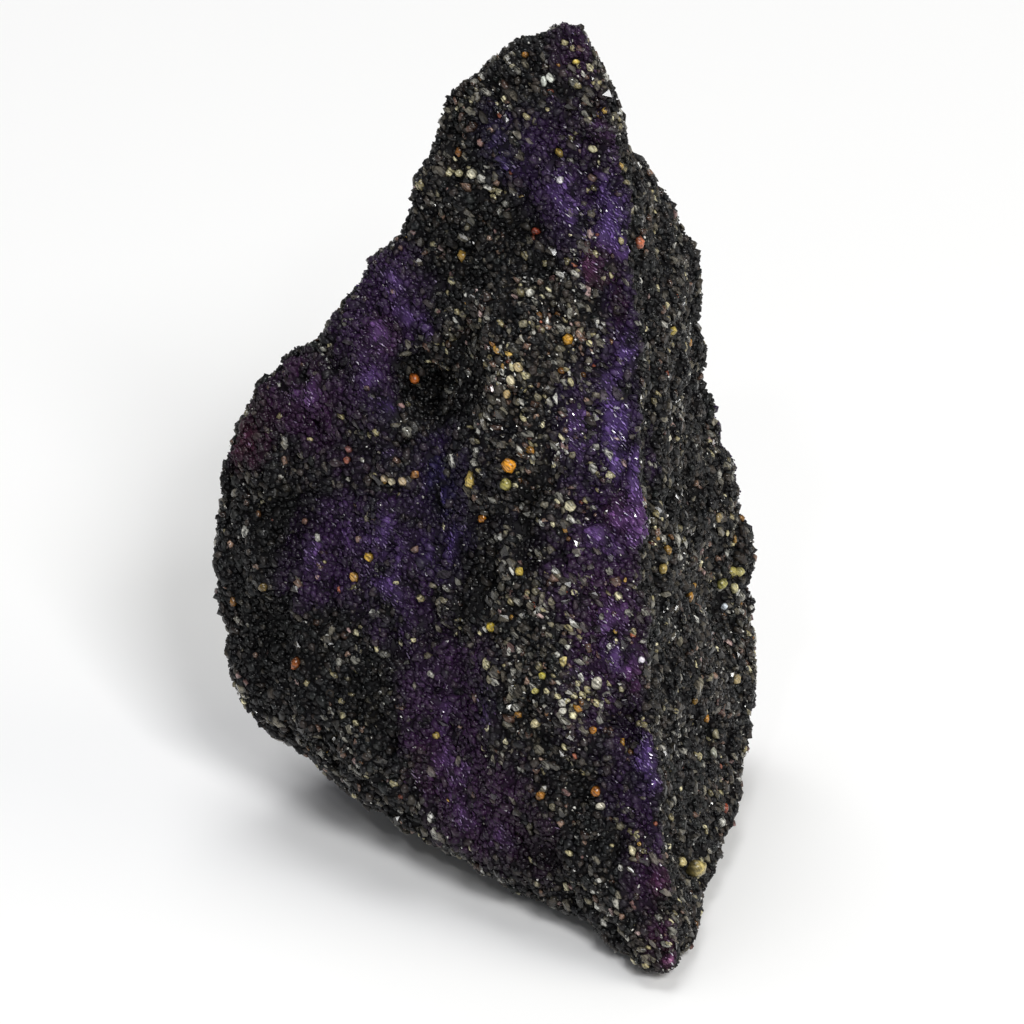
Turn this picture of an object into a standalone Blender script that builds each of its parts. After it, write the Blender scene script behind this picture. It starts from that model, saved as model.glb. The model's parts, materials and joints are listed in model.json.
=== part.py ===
"""A rough violet sapphire with a crust of grains, leaning back on the flat spot that it rests on.

The stone is drawn along its own long axis, in millimetres: x to the right, y from the front ridge
to the back, and z from the lower tip to the top. Cross-sections at hand-chosen heights are joined
into one skin, the skin gets its trough, ledges, pits and lumps, and the whole is leaned back and
cut flat where it rests.
"""

import math
from collections import namedtuple

import bmesh
import bpy
import numpy as np
from mathutils import Matrix, Vector, noise

MM = 0.001

# Driving dimensions
LEAN = math.radians(30.0)  # the long axis leans back this far from upright
TIP_CLEARANCE = 0.9  # the lower tip hangs this far clear of the surface, along the axis
FLAT_SPOT_MIDDLE = (-7.3, 18.0)  # from the lower tip, under the stone's weight
FLAT_SPOT_HALF = (6.4, 6.8)  # half the flat spot's width and length
FLAT_SPOT_WAVE = 0.25  # its edge wanders in and out by this share
FLAT_SPOT_WAVE_LENGTH = 4.0
FLAT_SLICE = 0.05  # this much is cut off the underside to make the flat spot
UNDERSIDE_SLOPE = 0.13  # the underside rises this steeply away from the flat spot
UNDERSIDE_RISE = 0.9  # and levels off at this height

# Fineness of the skin before it is thinned
SKIN_ROWS = 150
COLUMNS_LEFT_FACE = 70
COLUMNS_BACK_LEFT = 46
COLUMNS_BACK_RIGHT = 40
COLUMNS_RIGHT_FACE = 50
KEPT_SHARE = 0.13  # share of the fine skin's triangles that the finished stone keeps
SHARP_EDGE = math.radians(38.0)

# A cross-section has four corners: the front ridge, where the depth is nothing, the left edge,
# the back, and the right edge
Level = namedtuple("Level", "height ridge left left_depth back back_depth right right_depth")
LEVELS = (
    Level(0.0, 0.0, -0.8, 0.8, -0.2, 8.0, 0.6, 1.2),
    Level(0.8, 0.3, -1.8, 1.6, -0.6, 10.0, 1.1, 1.8),
    Level(2.0, 0.3, -3.4, 3.0, -1.5, 14.0, 1.7, 3.0),
    Level(4.5, 0.1, -8.6, 6.0, -4.0, 19.0, 2.7, 6.5),
    Level(7.5, -0.2, -14.4, 9.0, -6.0, 23.0, 3.6, 10.5),
    Level(10.5, -0.4, -18.2, 11.0, -7.0, 24.0, 4.2, 14.0),
    Level(12.2, -0.6, -20.6, 11.8, -7.3, 23.4, 4.2, 15.5),
    Level(13.8, -0.7, -21.8, 12.0, -7.6, 22.6, 5.1, 16.5),
    Level(18.0, -0.9, -22.9, 12.0, -8.2, 20.4, 4.9, 16.5),
    Level(22.5, -1.0, -23.2, 11.5, -8.6, 18.2, 4.3, 15.0),
    Level(27.0, -1.1, -22.3, 10.5, -8.4, 16.2, 3.1, 13.2),
    Level(31.0, -1.2, -19.6, 9.0, -7.8, 14.4, 2.4, 11.5),
    Level(34.5, -1.4, -15.7, 7.0, -7.0, 12.8, 2.1, 10.0),
    Level(38.0, -1.6, -13.2, 5.2, -6.4, 11.0, 1.4, 8.5),
    Level(40.8, -1.9, -12.2, 4.0, -6.2, 9.4, -0.4, 6.6),
    Level(42.0, -2.1, -11.7, 3.6, -6.2, 8.4, -1.7, 4.4),
    Level(44.8, -2.8, -10.3, 2.8, -6.2, 6.0, -2.6, 2.6),
    Level(46.2, -3.4, -8.1, 2.1, -5.6, 4.6, -3.2, 1.8),
    Level(47.1, -3.8, -6.4, 1.6, -5.0, 3.4, -3.7, 1.3),
    Level(47.7, -4.2, -5.5, 1.2, -4.9, 2.4, -4.1, 1.1),
)
HEIGHTS = np.array([level.height for level in LEVELS])
SLOPES = np.gradient(np.array(LEVELS), HEIGHTS, axis=0)
BACK_BEHIND_EDGES = 0.4  # the back stays at least this far behind the left and right edges

# Roundness of the stretches between the corners: 1 is straight, 2 is round, under 1 is hollow
ROUND_LEFT_FACE = 1.45
ROUND_BACK_LEFT = 1.4
ROUND_BACK_RIGHT = 1.5
ROUND_RIGHT_FACE = 0.93

# Dents (minus) and swells (plus) of the skin: where the middle is, how far it reaches along and
# across, how many degrees it turns from upright, and how far it goes out. On the front and the
# back, side is x; on the right face, side is the depth behind the ridge
Form = namedtuple("Form", "side height along across turn out")
FRONT_FORMS = (
    Form(-11.7, 24.0, 8.0, 1.7, 4.0, -1.3),  # the long trough left of the middle band
    Form(-13.6, 31.5, 4.5, 1.5, -20.0, -0.9),  # the trough's upper end, turning outwards
    Form(-12.6, 30.0, 1.4, 0.9, 30.0, -1.1),  # hollow under the crust's ledge
    Form(-12.2, 31.6, 1.6, 0.8, 60.0, 0.5),  # the ledge over it
    Form(-16.6, 20.5, 4.6, 2.2, 6.0, -1.1),  # the bare dish right of the left lobe's crust
    Form(-17.6, 22.3, 1.6, 0.8, 10.0, -1.0),  # dark hollow close under that crust
    Form(-19.6, 20.0, 4.4, 2.2, 8.0, 0.8),  # thick crust of the left lobe
    Form(-18.0, 27.6, 2.6, 2.0, -35.0, -0.5),  # bare upper shoulder of the left lobe
    Form(-6.8, 31.5, 7.0, 2.6, 6.0, 0.55),  # swell of the middle band
    Form(-6.6, 14.0, 6.5, 2.4, -4.0, 0.5),  # swell of the lower face
    Form(-11.2, 12.0, 5.5, 1.5, 12.0, -0.6),  # broad bare streak down the lower face
    Form(-15.6, 11.0, 2.6, 1.4, 40.0, 0.5),  # crust along the lower left edge
    Form(-9.4, 43.0, 2.4, 1.6, -25.0, 0.5),  # left shoulder of the top block
    Form(-10.4, 37.0, 1.5, 1.3, 0.0, 0.4),  # tooth on the flank below it
    Form(-3.9, 37.6, 3.4, 0.8, 10.0, -0.35),  # bare groove just left of the ridge
    Form(-3.3, 22.0, 6.0, 0.7, 4.0, -0.3),  # the same groove lower down
)
RIGHT_FORMS = (
    Form(2.2, 24.0, 9.5, 1.0, 0.0, -0.55),  # long groove close behind the ridge
    Form(6.5, 30.0, 5.0, 2.0, 0.0, 0.5),  # upper swell of the crust
    Form(8.0, 13.5, 5.5, 2.4, -12.0, 0.55),  # lower swell of the crust
    Form(12.5, 19.0, 4.5, 1.8, -20.0, -0.6),  # dent before the back corner
    Form(14.0, 24.0, 3.0, 1.8, -20.0, 0.5),  # knob on the back corner
)
BACK_FORMS = (
    Form(-4.0, 28.0, 9.0, 2.4, -8.0, -1.2),  # long shallow trough
    Form(-14.5, 19.0, 5.0, 3.4, 20.0, 1.0),  # broad shoulder
    Form(-10.5, 27.0, 3.2, 2.4, -30.0, -1.0),  # dish over the shoulder
    Form(-1.5, 15.0, 5.0, 2.4, 0.0, 0.8),  # heel of the right side
    Form(-8.5, 14.0, 6.0, 1.6, 10.0, -0.9),  # groove between heel and shoulder
    Form(-7.0, 38.0, 3.0, 2.0, 0.0, 0.7),  # knob under the top
)
# A normal's part towards a side, from where that side's forms begin to where they are whole
FACING_BEGINS = 0.15
FACING_WHOLE = 0.6

# Lumps of the crust, from broad to fine: their size, how far they stand out, and their seed
Lump = namedtuple("Lump", "size lift seed")
LUMPS = (
    Lump(7.0, 0.34, 11.0),
    Lump(3.0, 0.30, 23.0),
    Lump(1.5, 0.30, 37.0),
)
CHIP_SIZE = 2.4  # the crust is parted by fine grooves into chips of about this size
CHIP_GROOVE_WIDTH = 0.3  # as a share of the chip's size
CHIP_GROOVE_DEPTH = 0.24
RIB_WIDTH = 1.6  # fine ribs of the crystal run along the ridge
RIB_LENGTH = 22.0
RIB_HEIGHT = 0.14
END_FADE = 2.5  # the lumps grow to full height over this length from the tip and the top
END_SHARE = 0.3  # and have this share of it at the very ends


def clear_scene():
    for thing in list(bpy.data.objects):
        bpy.data.objects.remove(thing, do_unlink=True)


def smooth_step(low, high, value):
    share = min(max((value - low) / (high - low), 0.0), 1.0)
    return share * share * (3.0 - 2.0 * share)


def level_at(height):
    """The four corners at any height, on smooth curves through the levels."""
    low = int(np.searchsorted(HEIGHTS, height, side="right")) - 1
    low = min(low, len(LEVELS) - 2)
    span = HEIGHTS[low + 1] - HEIGHTS[low]
    share = (height - HEIGHTS[low]) / span
    start, end = np.array(LEVELS[low]), np.array(LEVELS[low + 1])
    rise = share * share * (3.0 - 2.0 * share)
    bend_start = share * (1.0 - share) ** 2 * span
    bend_end = -share * share * (1.0 - share) * span
    values = start + (end - start) * rise + SLOPES[low] * bend_start + SLOPES[low + 1] * bend_end
    return Level(*values)


def rounded_stretch(start, end, roundness, count, leaves_sideways):
    """Points of a quarter of a rounded corner from start up to, but without, end."""
    (x0, y0), (x1, y1) = start, end
    points = []
    for step in range(count):
        angle = 0.5 * math.pi * step / count
        near = math.cos(angle) ** (2.0 / roundness)
        far = math.sin(angle) ** (2.0 / roundness)
        if leaves_sideways:
            points.append((x0 + (x1 - x0) * far, y1 + (y0 - y1) * near))
        else:
            points.append((x1 + (x0 - x1) * near, y0 + (y1 - y0) * far))
    return points


def section(height):
    """The stone's closed outline at one height, from the ridge round by the left."""
    at = level_at(height)
    deepest_edge = max(at.left_depth, at.right_depth)
    ridge = (at.ridge, 0.0)
    left = (at.left, at.left_depth)
    back = (at.back, max(at.back_depth, deepest_edge + BACK_BEHIND_EDGES))
    right = (at.right, at.right_depth)
    return (
        rounded_stretch(ridge, left, ROUND_LEFT_FACE, COLUMNS_LEFT_FACE, True)
        + rounded_stretch(left, back, ROUND_BACK_LEFT, COLUMNS_BACK_LEFT, False)
        + rounded_stretch(back, right, ROUND_BACK_RIGHT, COLUMNS_BACK_RIGHT, True)
        + rounded_stretch(right, ridge, ROUND_RIGHT_FACE, COLUMNS_RIGHT_FACE, False)
    )


def fine_skin():
    """The stone's smooth form: a closed mesh of rows, one above the other."""
    skin = bmesh.new()
    rows = []
    for row in range(SKIN_ROWS + 1):
        height = HEIGHTS[-1] * row / SKIN_ROWS
        rows.append([skin.verts.new((x, depth, height)) for x, depth in section(height)])
    for lower, upper in zip(rows, rows[1:]):
        for i in range(len(lower)):
            skin.faces.new((lower[i - 1], lower[i], upper[i], upper[i - 1]))
    skin.faces.new(rows[0])
    skin.faces.new(rows[-1])
    bmesh.ops.recalc_face_normals(skin, faces=skin.faces)
    return skin


def form_height(forms, side, height):
    """How far a list of dents and swells pushes the surface out at a place."""
    total = 0.0
    for form in forms:
        turn = math.radians(form.turn)
        aside = side - form.side
        above = height - form.height
        along = (above * math.cos(turn) + aside * math.sin(turn)) / form.along
        across = (aside * math.cos(turn) - above * math.sin(turn)) / form.across
        total += form.out * math.exp(-(along * along + across * across))
    return total


def crust_height(point):
    """How far the crust's lumps, chips and ribs stand out at a place."""
    height = 0.0
    for lump in LUMPS:
        height += lump.lift * noise.noise(point / lump.size + Vector((lump.seed, 0.0, 0.0)))
    distances, _ = noise.voronoi(point / CHIP_SIZE)
    from_groove = distances[1] - distances[0]
    height -= CHIP_GROOVE_DEPTH * (1.0 - smooth_step(0.0, CHIP_GROOVE_WIDTH, from_groove))
    across_ribs = Vector((point.x / RIB_WIDTH, point.y / RIB_WIDTH, point.z / RIB_LENGTH))
    return height + RIB_HEIGHT * noise.noise(across_ribs)


def add_relief(skin):
    """Push the smooth skin in and out along its own normals."""
    skin.normal_update()
    moves = []
    for vert in skin.verts:
        point, normal = vert.co, vert.normal
        front = smooth_step(FACING_BEGINS, FACING_WHOLE, -normal.y)
        right = smooth_step(FACING_BEGINS, FACING_WHOLE, normal.x)
        back = smooth_step(FACING_BEGINS, FACING_WHOLE, normal.y)
        from_end = min(point.z, HEIGHTS[-1] - point.z)
        crust_share = END_SHARE + (1.0 - END_SHARE) * smooth_step(0.0, END_FADE, from_end)
        out = crust_height(point) * crust_share
        out += front * form_height(FRONT_FORMS, point.x, point.z)
        out += right * form_height(RIGHT_FORMS, point.y, point.z)
        out += back * form_height(BACK_FORMS, point.x, point.z)
        moves.append(normal * out)
    for vert, move in zip(skin.verts, moves):
        vert.co += move


def underside_height(x, y):
    """How high the underside hangs: nothing over the flat spot, and more away from it."""
    across = (x - FLAT_SPOT_MIDDLE[0]) / FLAT_SPOT_HALF[0]
    along = (y - FLAT_SPOT_MIDDLE[1]) / FLAT_SPOT_HALF[1]
    wave = FLAT_SPOT_WAVE * noise.noise(Vector((x, y, 0.0)) / FLAT_SPOT_WAVE_LENGTH)
    away = max(math.hypot(across, along) - 1.0 + wave, 0.0) * FLAT_SPOT_HALF[0]
    return UNDERSIDE_RISE * (1.0 - math.exp(-UNDERSIDE_SLOPE * away / UNDERSIDE_RISE))


def lean_back(skin):
    """Lean the stone back, and lift what hangs too low onto the gently rounded underside."""
    skin.transform(Matrix.Translation((0.0, 0.0, TIP_CLEARANCE)))
    skin.transform(Matrix.Rotation(-LEAN, 4, "X"))
    for vert in skin.verts:
        vert.co.z = max(vert.co.z, underside_height(vert.co.x, vert.co.y))


def cut_flat_spot(body):
    """Cut the underside flat where the stone rests."""
    geometry = body.verts[:] + body.edges[:] + body.faces[:]
    cut = bmesh.ops.bisect_plane(
        body,
        geom=geometry,
        plane_co=(0.0, 0.0, FLAT_SLICE),
        plane_no=(0.0, 0.0, 1.0),
        clear_inner=True,
    )
    rim = [item for item in cut["geom_cut"] if isinstance(item, bmesh.types.BMEdge)]
    bmesh.ops.contextual_create(body, geom=rim)
    bmesh.ops.triangulate(body, faces=body.faces)
    bmesh.ops.recalc_face_normals(body, faces=body.faces)


def place_origin(body):
    """Put the origin under the middle of the stone's box, and turn millimetres to metres."""
    places = np.array([vert.co for vert in body.verts])
    low, high = places.min(axis=0), places.max(axis=0)
    middle = 0.5 * (low + high)
    body.transform(Matrix.Translation((-middle[0], -middle[1], -low[2])))
    body.transform(Matrix.Scale(MM, 4))


def sapphire_material():
    material = bpy.data.materials.new("crusted_sapphire")
    material.use_nodes = True
    shader = material.node_tree.nodes["Principled BSDF"]
    shader.inputs["Base Color"].default_value = (0.022, 0.014, 0.035, 1.0)
    shader.inputs["Roughness"].default_value = 0.62
    shader.inputs["Metallic"].default_value = 0.0
    return material


def thinned_mesh(mesh):
    """A copy of the mesh with fewer triangles, most of them where the form bends."""
    guide = bpy.data.objects.new("fine_skin", mesh)
    bpy.context.scene.collection.objects.link(guide)
    thinning = guide.modifiers.new("thinning", "DECIMATE")
    thinning.ratio = KEPT_SHARE
    depsgraph = bpy.context.evaluated_depsgraph_get()
    thinned = bpy.data.meshes.new_from_object(guide.evaluated_get(depsgraph))
    bpy.data.objects.remove(guide)
    return thinned


def build_stone():
    skin = fine_skin()
    add_relief(skin)
    lean_back(skin)
    bmesh.ops.triangulate(skin, faces=skin.faces)
    fine = bpy.data.meshes.new("fine_skin")
    skin.to_mesh(fine)
    skin.free()

    body = bmesh.new()
    body.from_mesh(thinned_mesh(fine))
    cut_flat_spot(body)
    place_origin(body)
    mesh = bpy.data.meshes.new("rough_sapphire")
    body.to_mesh(mesh)
    body.free()

    mesh.shade_smooth()
    mesh.set_sharp_from_angle(angle=SHARP_EDGE)
    mesh.materials.append(sapphire_material())
    stone = bpy.data.objects.new("rough_sapphire", mesh)
    bpy.context.scene.collection.objects.link(stone)
    return stone


clear_scene()
build_stone()
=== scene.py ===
# %% [markdown]
# # A rough violet sapphire in a crust of sand
#
# The stone is one crystal of violet corundum, 48 mm long. Sand-size grains of dark, smoky, clear,
# cream and orange minerals have grown onto it, and the violet shows where they are missing.
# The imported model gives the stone's solid form. This lesson adds what a hand lens would show: the
# silky violet skin, and tens of thousands of separate grains on it.

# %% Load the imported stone
import json
import math
from collections import namedtuple
from functools import partial

import bmesh
import bpy
import numpy as np
from mathutils import Matrix, Vector, noise
from mathutils.bvhtree import BVHTree

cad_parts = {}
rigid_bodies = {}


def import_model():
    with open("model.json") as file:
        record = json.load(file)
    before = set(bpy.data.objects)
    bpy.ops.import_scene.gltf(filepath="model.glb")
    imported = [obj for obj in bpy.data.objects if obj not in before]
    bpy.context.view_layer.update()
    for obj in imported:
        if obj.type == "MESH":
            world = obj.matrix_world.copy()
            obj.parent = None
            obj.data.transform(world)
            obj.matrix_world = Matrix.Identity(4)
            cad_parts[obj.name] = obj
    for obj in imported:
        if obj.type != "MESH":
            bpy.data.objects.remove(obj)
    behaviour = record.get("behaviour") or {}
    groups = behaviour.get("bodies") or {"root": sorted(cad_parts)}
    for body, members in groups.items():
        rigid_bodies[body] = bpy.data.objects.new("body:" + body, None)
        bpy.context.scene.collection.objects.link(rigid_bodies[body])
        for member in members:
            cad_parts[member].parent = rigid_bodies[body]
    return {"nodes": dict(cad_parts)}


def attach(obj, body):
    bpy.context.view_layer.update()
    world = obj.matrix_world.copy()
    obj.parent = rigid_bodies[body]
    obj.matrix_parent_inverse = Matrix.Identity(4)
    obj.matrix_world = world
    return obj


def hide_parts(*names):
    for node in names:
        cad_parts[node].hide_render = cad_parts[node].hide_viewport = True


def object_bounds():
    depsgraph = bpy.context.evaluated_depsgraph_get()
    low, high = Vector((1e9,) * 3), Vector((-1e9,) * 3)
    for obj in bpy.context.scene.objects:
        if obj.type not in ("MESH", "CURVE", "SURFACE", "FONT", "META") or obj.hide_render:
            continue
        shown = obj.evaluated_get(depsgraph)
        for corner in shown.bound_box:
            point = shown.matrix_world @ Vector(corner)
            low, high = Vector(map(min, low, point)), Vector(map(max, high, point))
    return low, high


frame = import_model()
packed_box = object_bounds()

print("packed box in metres:", [tuple(round(v, 4) for v in corner) for corner in packed_box])

# %% [markdown]
# ## Small tools
#
# Shaders calculate in linear light, and colours are picked in sRGB, so one function turns
# a hex colour to linear. Materials and Geometry Nodes are both trees of nodes, so one function
# adds a node to either, with its settings and with what feeds its sockets. The part of it that
# fills the sockets stands alone, because a new material comes with its shader node in place.

# %% Colours and nodes
MM = 0.001


def linear(hex_colour):
    """An sRGB hex colour as linear red, green, blue and alpha."""
    channels = [int(hex_colour[i:i + 2], 16) / 255 for i in (1, 3, 5)]
    return [c / 12.92 if c <= 0.04045 else ((c + 0.055) / 1.055) ** 2.4 for c in channels] + [1.0]


def feed(tree, node, inputs):
    """Fill a node's sockets, by their identifiers or, for a tuple, in their own order.

    Each gets a value, an output socket, or a node, which stands for its first output.
    """
    if isinstance(inputs, dict):
        sockets = {socket.identifier: socket for socket in node.inputs}
        pairs = [(sockets[name], value) for name, value in inputs.items()]
    else:
        pairs = zip(node.inputs, inputs)
    for socket, value in pairs:
        if isinstance(value, bpy.types.Node):
            value = value.outputs[0]
        if isinstance(value, bpy.types.NodeSocket):
            tree.links.new(value, socket)
        else:
            socket.default_value = value


def add_node(tree, kind, inputs=(), **settings):
    """Add a node of a kind, with its settings and its inputs."""
    node = tree.nodes.new(kind)
    for name, value in settings.items():
        setattr(node, name, value)
    feed(tree, node, inputs)
    return node


def smooth_step(low, high, value):
    """0 below low, 1 above high, and a soft rise between them."""
    share = np.clip((value - low) / (high - low), 0.0, 1.0)
    return share * share * (3.0 - 2.0 * share)


print("mid grey #808080 in linear light:", round(linear("#808080")[0], 3))

# %% [markdown]
# ## Camera
#
# The camera stands 30 degrees above the horizon, so it looks square onto the stone's leaning
# front. A long lens keeps the stone's proportions almost as flat as a drawing. It comes first,
# because every later choice is judged through it.

# %% Camera
CAMERA_PLACE = Vector((1.35, -262.5, 170.8)) * MM
CAMERA_DROP = math.radians(30.0)  # how far it looks down
LENS_MM = 211.0
FILM_MM = 36.0
NEAREST_SEEN = 10.0 * MM

camera = bpy.data.objects.new("camera", bpy.data.cameras.new("camera"))
camera.data.lens = LENS_MM
camera.data.sensor_width = FILM_MM
camera.data.clip_start = NEAREST_SEEN
camera.location = CAMERA_PLACE
camera.rotation_euler = (math.radians(90.0) - CAMERA_DROP, 0.0, 0.0)
bpy.context.scene.collection.objects.link(camera)
bpy.context.scene.camera = camera
print("camera", round(CAMERA_PLACE.length / MM), "mm from the origin")

# %% [markdown]
# ## The stone's own axes
#
# The crystal leans back 30 degrees. Marks on it are easier to place along its own long axis:
# side is millimetres to the right of the lower tip, height is millimetres along the axis above
# it, and depth is millimetres behind the front ridge. A rotation turns one into the other.

# %% Axes of the leaning stone
LEAN = math.radians(30.0)
LOWER_TIP = np.array((9.0, -14.3, 0.73))
SIDE = np.array((1.0, 0.0, 0.0))
HEIGHT = np.array((0.0, math.sin(LEAN), math.cos(LEAN)))
DEPTH = np.array((0.0, math.cos(LEAN), -math.sin(LEAN)))


def along_stone(places):
    """Side, height and depth of places that are given in millimetres."""
    from_tip = places - LOWER_TIP
    return np.stack((from_tip @ SIDE, from_tip @ HEIGHT, from_tip @ DEPTH), axis=1)


def off_stone(side, height, depth):
    """The place, in millimetres, of a side, height and depth."""
    return LOWER_TIP + side * SIDE + height * HEIGHT + depth * DEPTH


print("top of the stone:", np.round(off_stone(-4.2, 47.7, 1.0), 1), "mm")

# %% [markdown]
# ## The crystal
#
# The real crystal lies just under its grains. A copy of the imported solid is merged, because its
# triangles are loose, and set in by the thickness of the crust. A voxel remesh then gives it an
# even skin of small quads, fine enough for real relief. Nothing is set in close to the floor, so
# the flat spot that the stone rests on stays where it is.

# %% Copy, set in and remesh
CRUST_THICKNESS = 0.10
FLOOR_FADE = 1.2  # the crust thins to nothing over this height above the floor
VOXEL = 0.21
SMOOTHING_ROUNDS = 4
SAME_POINT = 0.0001  # corners of triangles that are nearer than this are one point


def merged_copy(node):
    """A CAD node's mesh in millimetres, with its loose triangles joined."""
    shape = bmesh.new()
    shape.from_mesh(node.data)
    shape.transform(Matrix.Scale(1.0 / MM, 4))
    bmesh.ops.remove_doubles(shape, verts=shape.verts, dist=SAME_POINT)
    return shape


def remeshed(shape, voxel):
    """The shape as an even skin of small quads."""
    mesh = bpy.data.meshes.new("crystal")
    shape.to_mesh(mesh)
    guide = bpy.data.objects.new("crystal_guide", mesh)
    bpy.context.scene.collection.objects.link(guide)
    remesh = guide.modifiers.new("even skin", "REMESH")
    remesh.mode = "VOXEL"
    remesh.voxel_size = voxel
    depsgraph = bpy.context.evaluated_depsgraph_get()
    skin = bpy.data.meshes.new_from_object(guide.evaluated_get(depsgraph))
    bpy.data.objects.remove(guide)
    return skin


shape = merged_copy(frame["nodes"]["rough_sapphire"])
shape.normal_update()
for vert in shape.verts:
    vert.co -= vert.normal * CRUST_THICKNESS * float(smooth_step(0.0, FLOOR_FADE, vert.co.z))
crystal_mesh = remeshed(shape, VOXEL)
shape.free()
print("crystal skin:", len(crystal_mesh.vertices), "points,", len(crystal_mesh.polygons), "quads")


# %% Arrays of the skin's points, edges and normals
def read_array(elements, name, width, kind=np.float32):
    """One row of numbers for each point or edge of a mesh."""
    values = np.zeros(len(elements) * width, kind)
    elements.foreach_get(name, values)
    return values.reshape(-1, width)


def write_points(mesh, places):
    """Move a mesh's points to these places."""
    mesh.vertices.foreach_set("co", places.astype(np.float32).ravel())
    mesh.update()


def spread(values, edges, rounds):
    """Average values with those of the neighbours, over and over."""
    count = np.bincount(edges.ravel(), minlength=len(values))[:, None]
    for _ in range(rounds):
        total = np.zeros_like(values)
        np.add.at(total, edges[:, 0], values[edges[:, 1]])
        np.add.at(total, edges[:, 1], values[edges[:, 0]])
        values = 0.5 * values + 0.5 * total / count
    return values


NORMAL_ROUNDS = 25  # the broad normals forget lumps smaller than about a millimetre

edges = read_array(crystal_mesh.edges, "vertices", 2, np.int32)
rough_places = read_array(crystal_mesh.vertices, "co", 3).astype(float)
places = spread(rough_places, edges, SMOOTHING_ROUNDS)
write_points(crystal_mesh, places)
normals = read_array(crystal_mesh.vertices, "normal", 3).astype(float)
broad_normals = spread(normals, edges, NORMAL_ROUNDS)
broad_normals /= np.linalg.norm(broad_normals, axis=1, keepdims=True)
on_stone = along_stone(places)
axis_normals = np.stack((broad_normals @ SIDE, broad_normals @ HEIGHT, broad_normals @ DEPTH), 1)
print("smoothed over about", round(VOXEL * math.sqrt(SMOOTHING_ROUNDS / 2), 2), "mm")

# %% [markdown]
# ## Where the violet shows
#
# Three things vary over the skin. Bare says where the crust is gone: on the ridge, the shoulder,
# the left lobe and in streaks down the lower face. Stain reaches much wider: the crystal's violet
# also tints the dark grains round each bare patch, so the patches have no hard edge. Hue runs
# from -1, a blue violet, to 1, a magenta violet. Each patch is a soft oval with a place, a size
# and a turn, and noise breaks up its edge, as sand that has come off in clumps. On the hidden
# sides the patches come from noise that is stretched along the crystal, so the whole stone is
# finished in one way. Each noise has a seed of its own, which means nothing more than a place in
# the noise where it starts.

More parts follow.
